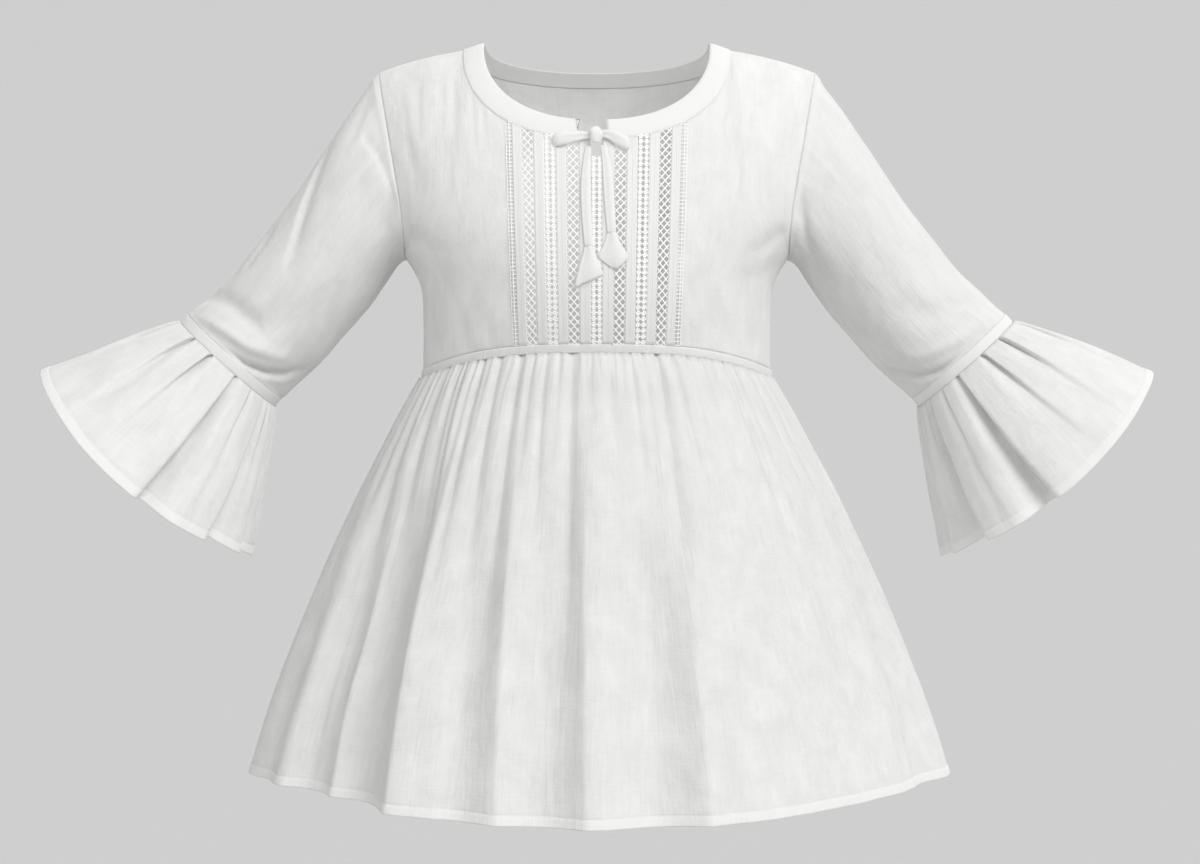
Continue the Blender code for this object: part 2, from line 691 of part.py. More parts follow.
# ---- sleeves ----
def sleeve_turns():
    """Turns round the sleeve, in degrees from its top: the front down, then the back up."""
    down = [180.0] + list(ARMHOLE_TURNS)
    front = list(reversed(down))
    return [(turn, True) for turn in front] + [(turn, False) for turn in down[1:-1]]


def sleeve_axis(side):
    outer = Vector((side * CUFF_OUTER[0], 0.0, CUFF_OUTER[1]))
    inner = Vector((side * CUFF_INNER[0], 0.0, CUFF_INNER[1]))
    across = (outer - inner) / 2
    along = Vector((-across.z, 0.0, across.x)) * -side
    return (outer + inner) / 2, across, along.normalized()


def ring_point(centre, across, depth, turn, front):
    turn = math.radians(turn)
    y = depth * math.sin(turn)
    return centre + across * math.cos(turn) + Vector((0.0, -y if front else y, 0.0))


def crease_depth(ring, turn, front):
    """How far the sleeve is drawn in at a ring and a turn."""
    signed = turn if front else -turn
    depth = 0.0
    for crease in SLEEVE_CREASES:
        along = (ring - crease.ring) / crease.half_rings
        around = (signed - crease.turn) / crease.half_turn
        depth += crease.depth * math.exp(-along * along - around * around)
    return depth


def make_sleeve(side, word):
    cuff_centre, cuff_across, along = sleeve_axis(side)
    end_centre = cuff_centre - along * (CUFF_BAND_WIDTH / 2 + SEAM_GAP)
    rings = []
    for row in SLEEVE:
        outer = Vector((side * row.outer_x, 0.0, row.outer_z))
        inner = Vector((side * row.inner_x, 0.0, row.inner_z))
        rings.append(((outer + inner) / 2, (outer - inner) / 2, row.depth))
    rings.append((end_centre, cuff_across, CUFF_DEPTH))
    sections = []
    first = rings[0]
    for number, (centre, across, depth) in enumerate(rings):
        keep = max(0.0, 1 - number / ARMHOLE_BLEND_RINGS) ** ARMHOLE_BLEND_POWER
        section = []
        for turn, front in sleeve_turns():
            point = ring_point(centre, across, depth, turn, front)
            z = armhole_z(turn)
            sewn = bodice_point(side * armhole_x(z), z - RIDGE_CLEARANCE, front)
            point += (sewn - ring_point(*first, turn, front)) * keep
            if number > 0:
                point += (centre - point).normalized() * crease_depth(number, turn, front)
            if number == 0:
                top = max(0.0, math.cos(math.radians(turn)))
                point += along * (ARMHOLE_EASE + SHOULDER_EASE * top * top)
            section.append(point)
        sections.append(section)
    middle = rings[len(rings) // 3][0]

    def axis(point):
        reach = (point - middle).dot(along)
        return middle + along * reach

    cloth(f"sleeve_{word}", sections, axis, closed=True)


def make_cuff_band(side, word):
    centre, across, along = sleeve_axis(side)
    half = CUFF_BAND_WIDTH / 2
    sections = []
    for shift in (-half, half):
        section = []
        for column in range(CUFF_COLUMNS):
            turn = 360.0 * column / CUFF_COLUMNS
            depth = CUFF_DEPTH * CUFF_BAND_PROUD
            wide = across * CUFF_BAND_PROUD
            section.append(ring_point(centre + along * shift, wide, depth, turn, True))
        sections.append(section)
    cloth(f"cuff_band_{word}", sections, lambda point: centre, wall=BAND_WALL, closed=True)


def make_flounce(side, word):
    start, across, along = sleeve_axis(side)
    start = start + along * (CUFF_BAND_WIDTH / 2 + SEAM_GAP)
    hem_outer = Vector((side * FLOUNCE_HEM_OUTER[0], 0.0, FLOUNCE_HEM_OUTER[1]))
    hem_inner = Vector((side * FLOUNCE_HEM_INNER[0], 0.0, FLOUNCE_HEM_INNER[1]))
    hem_centre = (hem_outer + hem_inner) / 2
    hem_across = (hem_outer - hem_inner) / 2
    reach = (hem_centre - start).normalized()
    count = FLOUNCE_PLEATS * FLOUNCE_COLUMNS_EACH
    sections = []
    for share in FLOUNCE_ROWS:
        flare = share ** FLOUNCE_BELL
        centre = start.lerp(hem_centre, share)
        ring_across = across.lerp(hem_across, flare)
        depth = mix(CUFF_DEPTH, FLOUNCE_HEM_DEPTH, flare)
        section = []
        for column in range(count):
            turn = 360.0 * column / count
            phase = math.radians(FLOUNCE_PLEATS * turn)
            phase += PLEAT_DRIFT * share * math.sin(math.radians(PLEAT_DRIFT_CYCLES * turn))
            wave = math.cos(phase) + PLEAT_SHARPNESS * math.cos(2 * phase)
            swell = mix(PLEAT_AT_BAND, PLEAT_AT_HEM, share ** PLEAT_GROWTH) * wave
            skewed = turn + PLEAT_SKEW * share * wave / 2
            point = ring_point(centre, ring_across, depth, skewed, True)
            out = (point - centre).normalized()
            sag = FLOUNCE_SAG * math.sin(math.radians(turn)) ** 2 * share ** SAG_GROWTH
            section.append(point + out * swell + reach * sag)
        sections.append(section)

    def axis(point):
        return start + reach * (point - start).dot(reach)

    cloth(f"flounce_{word}", sections, axis, closed=True)


# ---- tie ----
def ribbon(name, stations, proud):
    """A flat length of cloth that lies in front of the bib."""
    rings = []
    for station in stations:
        lean = math.radians(station.turn)
        across = Vector((math.cos(lean), 0.0, math.sin(lean))) * (station.width / 2)
        middle = bodice_point(station.x, station.z, True)
        middle.y -= proud
        ring = []
        for corner in range(TIE_CORNERS):
            turn = 2 * math.pi * corner / TIE_CORNERS
            depth = Vector((0.0, TIE_THICKNESS / 2 * math.sin(turn), 0.0))
            ring.append(middle + across * math.cos(turn) + depth)
        rings.append(ring)
    return loft(name, rings)


def make_loop(name, stations, side):
    """A bow loop: a plump folded length of cloth whose back rests against the bib."""
    rings = []
    for station in stations:
        x = KNOT_CENTRE_X + side * station.out
        z = KNOT_CENTRE_Z - station.drop
        corners = []
        for corner in range(TIE_CORNERS):
            turn = 2 * math.pi * corner / TIE_CORNERS
            up = station.height / 2 * math.sin(turn)
            corners.append((up, station.thickness / 2 * math.cos(turn)))
        rest = min(bodice_point(x, z + up, True).y - depth for up, depth in corners)
        y = rest - LOOP_CLEARANCE
        rings.append([Vector((x, y + depth, z + up)) for up, depth in corners])
    loft(name, rings)


def make_tie():
    surface = bodice_point(0.0, KNOT_CENTRE_Z - KNOT_SIZE[2] / 2, True)
    knot_y = surface.y - LOOP_CLEARANCE - KNOT_SIZE[1] / 2
    bm = bmesh.new()
    around, upward = KNOT_SEGMENTS
    bmesh.ops.create_uvsphere(bm, u_segments=around, v_segments=upward, radius=0.5)
    bmesh.ops.scale(bm, vec=Vector(KNOT_SIZE), verts=bm.verts[:])
    bmesh.ops.translate(bm, vec=Vector((KNOT_CENTRE_X, knot_y, KNOT_CENTRE_Z)), verts=bm.verts[:])
    add_object("tie_knot", bm, CLOTH_WHITE)
    make_loop("tie_loop_left", LOOP_LEFT, -1)
    make_loop("tie_loop_right", LOOP_RIGHT, 1)
    proud = TIE_CLEARANCE + TIE_THICKNESS / 2
    ribbon("tie_tail_left", TAIL_LEFT, proud)
    ribbon("tie_tail_right", TAIL_RIGHT, proud)
    ribbon("tie_end_left", TASSEL_LEFT, proud)
    ribbon("tie_end_right", TASSEL_RIGHT, proud)


def clear_scene():
    for obj in list(bpy.data.objects):
        bpy.data.objects.remove(obj, do_unlink=True)


def main():
    clear_scene()
    collection = bpy.data.collections.new("peplum_top")
    bpy.context.scene.collection.children.link(collection)
    make_bib()
    make_back()
    make_waist_band()
    make_neckband()
    make_skirt(True)
    make_skirt(False)
    for side, word in ((-1, "left"), (1, "right")):
        make_front(side, word)
        make_sleeve(side, word)
        make_cuff_band(side, word)
        make_flounce(side, word)
    make_tie()


main()
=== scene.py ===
"""Peplum top of white cotton gauze: its cloth, lace bib, stitching and tie, and a plain studio.

Metres, +Z up, +X to the right of someone who looks at the front, +Y to the back. The pieces follow
the curves of the packed solids, but the skirt's top is seated on its seam, and its folds and the
flounces' pleats are deeper. Creases, seams, lace and the weave are added here.
"""

import bisect
import math
from collections import namedtuple

import bmesh
import bpy
from bpy.props import FloatProperty, FloatVectorProperty, IntProperty, PointerProperty
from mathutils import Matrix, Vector, noise


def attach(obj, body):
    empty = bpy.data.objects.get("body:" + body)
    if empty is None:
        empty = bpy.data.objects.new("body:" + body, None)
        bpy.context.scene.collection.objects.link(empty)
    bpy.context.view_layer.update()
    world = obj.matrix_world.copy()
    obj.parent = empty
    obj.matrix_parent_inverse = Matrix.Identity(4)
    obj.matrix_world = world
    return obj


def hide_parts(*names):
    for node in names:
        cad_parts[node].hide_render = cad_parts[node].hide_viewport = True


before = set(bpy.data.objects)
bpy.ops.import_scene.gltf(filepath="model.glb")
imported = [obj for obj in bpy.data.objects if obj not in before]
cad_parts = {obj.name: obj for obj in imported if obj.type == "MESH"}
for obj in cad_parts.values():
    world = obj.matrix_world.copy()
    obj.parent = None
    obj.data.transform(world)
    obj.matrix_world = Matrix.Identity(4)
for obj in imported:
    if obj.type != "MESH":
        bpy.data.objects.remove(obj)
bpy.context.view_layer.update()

bl_info = {
    "name": "Peplum Top",
    "version": (1, 0, 0),
    "blender": (4, 5, 0),
    "location": "3D View > Sidebar > Peplum Top",
    "description": "Dresses a packed peplum top in gauze, lace and stitching, in a plain studio",
    "category": "Object",
}

BODY = "root"
SIDES = ((-1, "left"), (1, "right"))

# ---- neck and shoulders ----
NECK_HALF_WIDTH = 0.1214
NECK_CURVE = 2.3
FRONT_NECK_DROP = 0.0912
BACK_NECK_DROP = 0.0265
FRONT_ROUNDING = 0.100
BACK_ROUNDING = 0.110
RIDGE_RISE = 0.020
SHOULDER_TIP_X = 0.2006
SHOULDER_TIP_Z = -0.0212
SHOULDER_STRAIGHT_SHARE = 0.62
SHOULDER_FALL_POWER = 2.4
CHEST_SQUARENESS = 0.9
BODY_AXIS_TOP_Z = -0.06

# ---- neckband ----
BAND_INNER_SCALE = 0.848
BAND_SHOULDER_RISE = 0.006
BAND_FRONT_RISE = 0.0179
BAND_BACK_RISE = 0.0123
BAND_FRONT_LEAN = 0.93
BAND_BACK_LEAN = 0.86
NOTCH_LEFT_X = -0.0143
NOTCH_RIGHT_X = 0.0098
NOTCH_SLANT = 0.007
KEYHOLE_BOTTOM_Z = -0.1072

# ---- armhole and waist ----
ARMPIT_Z = -0.1923
WAIST_CENTRE_Z = -0.2741
WAIST_SIDE_DROP = 0.0212
BACK_WAIST_CENTRE_Z = -0.2880
WAIST_ARCH_POWER = 3.0
WAIST_BAND_HEIGHT = 0.0068

# ---- skirt ----
FRONT_HEM_DROP = 0.0295
HEM_SWAY = 0.0015
BACK_HEM_DROP = 0.0220
FOLD_FADE = 0.65
SIDE_TAPER = 0.12

# ---- sleeves, cuff bands and flounces ----
CUFF_OUTER = (0.3790, -0.2466)
CUFF_INNER = (0.2935, -0.3238)
CUFF_DEPTH = 0.0560
CUFF_BAND_WIDTH = 0.0090
ARMHOLE_BLEND_RINGS = 3
ARMHOLE_BLEND_POWER = 1.5
FLOUNCE_HEM_OUTER = (0.4965, -0.3060)
FLOUNCE_HEM_INNER = (0.3300, -0.4540)
FLOUNCE_HEM_DEPTH = 0.1080
FLOUNCE_SAG = 0.020
FLOUNCE_BELL = 0.84
SAG_GROWTH = 1.5
PLEAT_GROWTH = 1.1
RIDGE_AT_BAND = 0.0020
RIDGE_AT_HEM = 0.0162

# ---- bib and tie ----
BIB_TOP_SCALE = 1.040
BIB_BOTTOM_SCALE = 0.955
KNOT_SIZE = (0.0110, 0.0080, 0.0150)
KNOT_CENTRE_X = -0.0008
KNOT_CENTRE_Z = -0.0885
LOOP_CLEARANCE = 0.0021
TIE_PROUD = 0.0025


def table(kind, *rows):
    """Rows of values as named tuples of one kind."""
    return tuple(kind(*row) for row in rows)


TorsoRow = namedtuple("TorsoRow", "z half_width front back")
TORSO = table(
    TorsoRow,
    (-0.315, 0.1600, 0.1150, 0.0970),
    (-0.280, 0.1592, 0.1260, 0.0985),
    (-0.250, 0.1592, 0.1370, 0.1010),
    (-0.215, 0.1625, 0.1435, 0.1040),
    (-0.192, 0.1755, 0.1430, 0.1060),
    (-0.165, 0.1940, 0.1395, 0.1070),
    (-0.130, 0.2050, 0.1310, 0.1070),
    (-0.095, 0.2130, 0.1195, 0.1060),
    (-0.060, 0.2190, 0.1075, 0.1030),
    (-0.020, 0.2250, 0.0980, 0.0970),
    (0.020, 0.2280, 0.0940, 0.0940),
)

ArmholeRow = namedtuple("ArmholeRow", "z x")
ARMHOLE = table(
    ArmholeRow,
    (-0.1923, 0.1755),
    (-0.1750, 0.1745),
    (-0.1527, 0.1765),
    (-0.1279, 0.1805),
    (-0.0948, 0.1865),
    (-0.0552, 0.1940),
    (-0.0212, 0.2006),
)

SkirtRow = namedtuple("SkirtRow", "side_z half_width front back")
SKIRT = table(
    SkirtRow,
    (-0.3026, 0.1608, 0.1165, 0.0980),
    (-0.3183, 0.1707, 0.1290, 0.1120),
    (-0.3404, 0.1840, 0.1410, 0.1260),
    (-0.3625, 0.1960, 0.1510, 0.1370),
    (-0.3956, 0.2130, 0.1640, 0.1520),
    (-0.4287, 0.2290, 0.1750, 0.1640),
    (-0.4618, 0.2447, 0.1850, 0.1760),
    (-0.5060, 0.2640, 0.1990, 0.1910),
    (-0.5502, 0.2824, 0.2120, 0.2050),
    (-0.5943, 0.2990, 0.2240, 0.2190),
    (-0.6274, 0.3100, 0.2320, 0.2280),
    (-0.6620, 0.3206, 0.2400, 0.2370),
)

# A ring of the sleeve: its place in rings from the armhole, its outer and inner edges seen from
# the front, and its half depth.
SleeveRow = namedtuple("SleeveRow", "ring outer_x outer_z inner_x inner_z depth")
SLEEVE = table(
    SleeveRow,
    (0, 0.2006, -0.0212, 0.1755, -0.1923, 0.0610),
    (1, 0.2220, -0.0500, 0.1850, -0.2000, 0.0640),
    (2, 0.2420, -0.0800, 0.1946, -0.2150, 0.0655),
    (3, 0.2640, -0.1130, 0.2075, -0.2350, 0.0655),
    (4, 0.2870, -0.1465, 0.2245, -0.2550, 0.0640),
    (5, 0.3100, -0.1770, 0.2440, -0.2760, 0.0620),
    (6, 0.3330, -0.2050, 0.2640, -0.2970, 0.0595),
    (7, 0.3560, -0.2260, 0.2800, -0.3110, 0.0575),
    (8, 0.3759, -0.2433, 0.2904, -0.3205, 0.0560),
)

# A broad fold of the skirt: the turn from the panel's middle at its top and hem, in degrees,
# its depth at the hem, its half width in degrees, and how far down the skirt it begins.
Fold = namedtuple("Fold", "top_turn hem_turn depth half_width begins")
FRONT_FOLDS = table(
    Fold,
    (-76.0, -73.0, 0.012, 6.0, 0.15),
    (-63.0, -58.8, 0.023, 5.0, 0.08),
    (-50.5, -46.4, 0.033, 8.2, 0.03),
    (-28.4, -24.0, 0.019, 5.8, 0.05),
    (-11.0, -9.7, 0.020, 5.8, 0.08),
    (11.0, 9.6, 0.023, 6.0, 0.10),
    (25.0, 26.5, 0.004, 5.0, 0.30),
    (39.0, 38.0, 0.007, 6.0, 0.22),
    (54.0, 51.0, 0.008, 6.0, 0.15),
    (71.0, 67.5, 0.009, 6.5, 0.15),
    # smaller folds between them
    (-68.0, -63.0, 0.006, 3.0, 0.25),
    (-36.0, -31.0, 0.003, 2.6, 0.35),
    (-17.0, -14.5, 0.003, 3.0, 0.45),
    (3.0, 4.0, 0.003, 2.4, 0.30),
    (19.0, 21.0, 0.003, 2.6, 0.40),
    (32.5, 32.0, 0.003, 2.8, 0.25),
    (46.0, 44.5, 0.003, 2.6, 0.45),
    (62.0, 59.5, 0.003, 2.8, 0.35),
)
BACK_FOLDS = table(
    Fold,
    (-74.0, -69.0, 0.012, 6.5, 0.15),
    (-57.0, -51.0, 0.014, 6.0, 0.10),
    (-38.0, -33.0, 0.017, 6.5, 0.05),
    (-20.0, -17.0, 0.014, 6.0, 0.12),
    (0.0, 0.5, 0.017, 6.5, 0.06),
    (19.0, 17.5, 0.013, 6.0, 0.16),
    (37.0, 33.5, 0.017, 6.5, 0.05),
    (56.0, 51.0, 0.013, 6.0, 0.14),
    (75.0, 69.5, 0.012, 6.5, 0.12),
    # smaller folds between them
    (-64.0, -60.0, 0.004, 2.8, 0.40),
    (-46.0, -42.0, 0.005, 2.6, 0.30),
    (-28.0, -25.0, 0.004, 2.6, 0.45),
    (-10.0, -8.0, 0.005, 2.8, 0.35),
    (9.5, 9.0, 0.004, 2.4, 0.45),
    (28.0, 25.5, 0.005, 2.8, 0.35),
    (46.0, 42.0, 0.004, 2.6, 0.40),
    (65.0, 60.5, 0.005, 2.8, 0.30),
)

# A gather under the waist band: its turn in degrees, its depth, how far down the skirt it runs,
# its half width in degrees and how far it drifts on its way down.
Gather = namedtuple("Gather", "turn depth reach half_width drift")
FRONT_GATHERS = table(
    Gather,
    (-81.0, 0.0026, 0.26, 1.4, 0.0),
    (-75.5, 0.0028, 0.36, 1.4, 0.0),
    (-69.2, 0.0036, 0.50, 1.5, 2.0),
    (-63.0, 0.0040, 0.62, 1.5, 2.0),
    (-58.5, 0.0018, 0.22, 0.9, 0.5),
    (-55.1, 0.0052, 0.72, 1.7, 3.0),
    (-51.6, 0.0015, 0.20, 0.8, 1.0),
    (-48.0, 0.0038, 0.55, 1.4, 4.0),
    (-45.0, 0.0030, 0.85, 0.8, 6.0),
    (-41.2, 0.0026, 0.42, 0.8, 2.0),
    (-38.2, 0.0054, 0.70, 1.6, 4.0),
    (-34.9, 0.0018, 0.20, 0.8, 0.0),
    (-31.6, 0.0054, 0.80, 1.7, 4.0),
    (-27.8, 0.0018, 0.18, 0.8, 0.0),
    (-24.3, 0.0054, 0.80, 1.6, 3.0),
    (-20.0, 0.0028, 0.35, 1.1, 1.0),
    (-15.6, 0.0034, 0.50, 0.8, 2.0),
    (-11.0, 0.0018, 0.20, 0.8, 0.0),
    (-7.3, 0.0056, 0.85, 1.7, 2.0),
    (-2.2, 0.0018, 0.25, 1.1, 0.0),
    (3.8, 0.0020, 0.34, 1.4, 1.0),
    (7.5, 0.0015, 0.18, 0.8, 0.0),
    (10.8, 0.0032, 0.40, 0.8, 1.0),
    (14.7, 0.0028, 0.48, 1.5, 0.0),
    (19.4, 0.0058, 0.85, 1.5, -2.0),
    (24.3, 0.0030, 0.42, 0.8, 2.0),
    (29.6, 0.0020, 0.30, 1.4, 0.0),
    (33.9, 0.0022, 0.36, 1.3, 1.0),
    (38.8, 0.0015, 0.20, 0.8, 0.0),
    (44.5, 0.0040, 0.62, 1.0, 3.0),
    (49.7, 0.0026, 0.45, 1.2, 2.0),
    (56.9, 0.0026, 0.42, 1.3, 2.0),
    (63.7, 0.0026, 0.36, 1.3, 1.0),
    (70.0, 0.0026, 0.30, 1.3, 0.0),
    (76.5, 0.0024, 0.34, 1.3, 0.0),
    (82.0, 0.0022, 0.26, 1.3, 0.0),
)
BACK_GATHER_SHIFT = 1.7
BACK_GATHERS = tuple(
    gather._replace(turn=-gather.turn * 0.98 + BACK_GATHER_SHIFT, drift=-gather.drift)
    for gather in FRONT_GATHERS
)

# A soft crease along a short path of (across, along, strength), with its half width and its depth,
# in metres: over 0 for a trough and under 0 for a ridge. Lean makes one of its sides steeper.
Crease = namedtuple("Crease", "path half_width depth lean", defaults=(0.0,))
FRONT_CREASES = table(
    Crease,
    (((-0.163, -0.034, 0.5), (-0.162, -0.060, 1.0), (-0.159, -0.092, 0.3)), 0.0048, 0.0016),
    (((-0.141, -0.040, 0.6), (-0.139, -0.058, 1.0), (-0.138, -0.074, 0.3)), 0.0040, 0.0011),
    (((-0.129, -0.040, 0.6), (-0.128, -0.060, 1.0), (-0.127, -0.082, 0.3)), 0.0042, 0.0014),
    (((-0.112, -0.046, 0.6), (-0.111, -0.070, 1.0), (-0.110, -0.094, 0.4)), 0.0040, 0.0013),
    (((-0.102, -0.054, 0.8), (-0.101, -0.076, 1.0), (-0.099, -0.098, 0.3)), 0.0036, 0.0011),
    (((-0.174, -0.060, 0.4), (-0.168, -0.105, 1.0), (-0.158, -0.140, 0.2)), 0.0060, 0.0014),
    (((-0.168, -0.176, 1.0), (-0.150, -0.186, 0.7), (-0.128, -0.190, 0.1)), 0.0060, 0.0026),
    (((-0.163, -0.200, 0.9), (-0.146, -0.214, 0.6), (-0.125, -0.222, 0.1)), 0.0060, 0.0020),
    (((-0.152, -0.236, 0.4), (-0.146, -0.262, 1.0), (-0.143, -0.288, 0.6)), 0.0050, 0.0014),
    (((-0.124, -0.240, 0.3), (-0.119, -0.262, 1.0), (-0.117, -0.280, 0.6)), 0.0046, 0.0012),
    (((-0.098, -0.250, 0.3), (-0.096, -0.266, 1.0), (-0.095, -0.278, 0.6)), 0.0040, 0.0009),
    (((0.150, -0.044, 0.5), (0.152, -0.070, 0.8), (0.152, -0.100, 0.2)), 0.0056, 0.0010),
    (((0.118, -0.052, 0.5), (0.117, -0.076, 0.8), (0.115, -0.100, 0.2)), 0.0050, 0.0009),
    (((0.166, -0.172, 1.0), (0.150, -0.186, 0.7), (0.130, -0.194, 0.1)), 0.0060, 0.0022),
    (((0.161, -0.200, 0.8), (0.145, -0.212, 0.5), (0.126, -0.218, 0.1)), 0.0056, 0.0014),
    (((0.148, -0.240, 0.3), (0.143, -0.264, 0.9), (0.141, -0.286, 0.6)), 0.0050, 0.0011),
    (((0.112, -0.246, 0.3), (0.110, -0.264, 0.8), (0.108, -0.278, 0.5)), 0.0044, 0.0009),
)
BACK_CREASES = table(
    Crease,
    (((-0.150, -0.040, 0.5), (-0.148, -0.072, 1.0), (-0.140, -0.110, 0.2)), 0.0060, 0.0014),
    (((-0.118, -0.036, 0.5), (-0.112, -0.062, 1.0), (-0.100, -0.092, 0.2)), 0.0052, 0.0012),
    (((-0.060, -0.044, 0.3), (-0.052, -0.076, 1.0), (-0.040, -0.104, 0.2)), 0.0070, 0.0012),
    (((0.020, -0.040, 0.3), (0.014, -0.080, 1.0), (0.010, -0.130, 0.2)), 0.0080, 0.0011),
    (((0.070, -0.040, 0.3), (0.062, -0.078, 1.0), (0.050, -0.116, 0.2)), 0.0060, 0.0013),
    (((0.128, -0.038, 0.5), (0.126, -0.070, 1.0), (0.118, -0.104, 0.2)), 0.0056, 0.0014),
    (((-0.168, -0.180, 1.0), (-0.146, -0.194, 0.7), (-0.118, -0.200, 0.1)), 0.0066, 0.0024),
    (((0.166, -0.176, 1.0), (0.148, -0.192, 0.7), (0.122, -0.202, 0.1)), 0.0060, 0.0022),
    (((-0.120, -0.232, 0.2), (-0.112, -0.260, 1.0), (-0.106, -0.292, 0.7)), 0.0056, 0.0018),
    (((-0.066, -0.236, 0.2), (-0.062, -0.262, 0.9), (-0.058, -0.290, 0.7)), 0.0050, 0.0015),
    (((-0.010, -0.222, 0.2), (-0.008, -0.256, 1.0), (-0.006, -0.288, 0.7)), 0.0060, 0.0017),
    (((0.042, -0.240, 0.2), (0.040, -0.264, 0.9), (0.038, -0.288, 0.7)), 0.0046, 0.0013),
    (((0.094, -0.228, 0.2), (0.088, -0.258, 1.0), (0.084, -0.290, 0.7)), 0.0056, 0.0017),
    (((0.138, -0.240, 0.2), (0.132, -0.266, 0.9), (0.128, -0.294, 0.7)), 0.0050, 0.0014),
)

# The sleeves' creases run through (turn from the top in degrees, ring, strength): turns over 0 lie
# on the front, under 0 on the back.
LEFT_SLEEVE_CREASES = table(
    Crease,
    (((14, 2.1, 0.2), (32, 2.8, 0.8), (44, 3.4, 1.0), (58, 4.0, 1.0), (70, 4.6, 0.3)), 0.0070, 0.0046, 0.5),
    (((4, 3.0, 0.4), (8, 3.6, 1.0), (14, 4.1, 0.4)), 0.0060, 0.0030),
    (((20, 4.4, 0.3), (25, 4.9, 1.0), (30, 5.5, 0.6)), 0.0060, 0.0036),
    (((62, 0.9, 0.8), (78, 0.6, 1.0), (98, 0.4, 0.4)), 0.0050, 0.0026, 0.3),
    (((34, 0.6, 0.5), (44, 1.1, 0.9), (50, 1.8, 0.3)), 0.0070, 0.0022),
    (((112, 0.3, 0.9), (120, 0.9, 1.0), (122, 1.8, 0.2)), 0.0080, 0.0034),
    (((14, 7.0, 0.5), (38, 6.7, 0.9), (67, 6.5, 1.0), (92, 6.3, 0.6), (100, 5.6, 0.2)), 0.0110, 0.0060),
    (((40, 7.7, 0.3), (62, 7.45, 1.0), (95, 7.1, 1.0), (125, 6.3, 0.5)), 0.0080, -0.0040),
    (((88, 8.0, 0.4), (106, 7.8, 1.0), (124, 7.4, 1.0), (142, 6.8, 0.8), (156, 6.1, 0.2)), 0.0060, 0.0060),
    (((120, 3.6, 0.2), (140, 4.4, 0.8), (152, 5.2, 0.4)), 0.0080, 0.0030),
)
RIGHT_SLEEVE_CREASES = table(
    Crease,
    (((40, 2.6, 0.2), (56, 3.4, 0.9), (66, 4.1, 0.7), (74, 4.7, 0.1)), 0.0090, 0.0022, 0.3),
    (((80, 3.0, 0.2), (92, 3.8, 0.8), (95, 4.7, 0.2)), 0.0100, 0.0020),
    (((116, 0.4, 0.9), (132, 1.0, 1.0), (140, 2.0, 0.6), (146, 3.2, 0.2)), 0.0090, 0.0034),
    (((24, 0.7, 0.4), (40, 1.2, 0.8), (48, 2.0, 0.2)), 0.0090, 0.0016),
    (((30, 7.0, 0.4), (58, 6.5, 0.8), (80, 6.0, 0.8), (100, 5.2, 0.3)), 0.0120, 0.0036),
    (((50, 7.6, 0.3), (84, 7.3, 0.9), (116, 6.7, 0.8), (134, 5.8, 0.2)), 0.0090, -0.0034),
    (((100, 7.9, 0.5), (118, 7.7, 1.0), (134, 7.3, 1.0), (148, 6.7, 0.9), (158, 6.0, 0.2)), 0.0062, 0.0062),
    (((128, 3.4, 0.2), (142, 4.3, 0.9), (152, 5.3, 0.5)), 0.0085, 0.0030),
)
BACK_SLEEVE_CREASES = table(
    Crease,
    (((-30, 1.8, 0.3), (-48, 2.6, 1.0), (-66, 3.6, 0.8), (-76, 4.4, 0.2)), 0.0080, 0.0036, 0.3),
    (((-96, 0.5, 0.9), (-116, 0.9, 1.0), (-126, 1.8, 0.3)), 0.0080, 0.0034),
    (((-20, 4.6, 0.3), (-46, 5.2, 0.9), (-78, 5.4, 1.0), (-106, 5.0, 0.3)), 0.0100, 0.0042),
    (((-24, 6.6, 0.4), (-60, 6.4, 1.0), (-96, 6.1, 0.9), (-122, 5.5, 0.2)), 0.0090, 0.0048),
    (((-40, 7.3, 0.3), (-84, 7.1, 0.9), (-120, 6.6, 0.6)), 0.0070, -0.0030),
    (((-90, 7.9, 0.4), (-116, 7.6, 1.0), (-140, 7.0, 0.8), (-154, 6.3, 0.2)), 0.0064, 0.0056),
)
SLEEVE_DEGREE = 0.00108
SLEEVE_RING = 0.0352

# A pleat of a flounce: its turns in degrees at the band and the hem, its depth at the band, at
# mid length and at the hem, and the half widths in degrees of its open side there and at the hem.
Pleat = namedtuple("Pleat", "band_turn hem_turn at_band midway at_hem open_band open_hem")
PLEATS = table(
    Pleat,
    (16.8, 21.0, 0.0078, 0.0030, 0.0004, 1.8, 8.0),
    (54.6, 55.0, 0.0092, 0.0044, 0.0005, 1.9, 9.0),
    (79.4, 74.0, 0.0088, 0.0040, 0.0008, 2.0, 13.0),
    (108.2, 104.3, 0.0080, 0.0160, 0.0230, 3.4, 9.0),
    (128.0, 124.0, 0.0024, 0.0016, 0.0010, 1.4, 4.0),
    (145.5, 140.5, 0.0066, 0.0150, 0.0200, 3.4, 11.0),
    (154.5, 153.0, 0.0034, 0.0026, 0.0012, 1.4, 3.5),
    (163.0, 166.0, 0.0040, 0.0060, 0.0080, 2.4, 7.0),
    (172.0, 176.0, 0.0030, 0.0028, 0.0020, 1.4, 4.0),
    (197.0, 200.0, 0.0042, 0.0100, 0.0150, 4.0, 9.0),
    (232.0, 229.0, 0.0050, 0.0140, 0.0210, 4.0, 10.0),
    (262.0, 266.0, 0.0046, 0.0120, 0.0170, 4.0, 10.0),
    (301.0, 297.0, 0.0054, 0.0150, 0.0200, 4.0, 11.0),
    (336.0, 333.0, 0.0044, 0.0060, 0.0080, 3.0, 9.0),
)
PLEAT_EDGE_AT_BAND = 1.2
PLEAT_UNDER = 4.2
PLEAT_UNDER_FOR_DEPTH = 70.0
PLEAT_EDGE_AT_HEM = 2.6

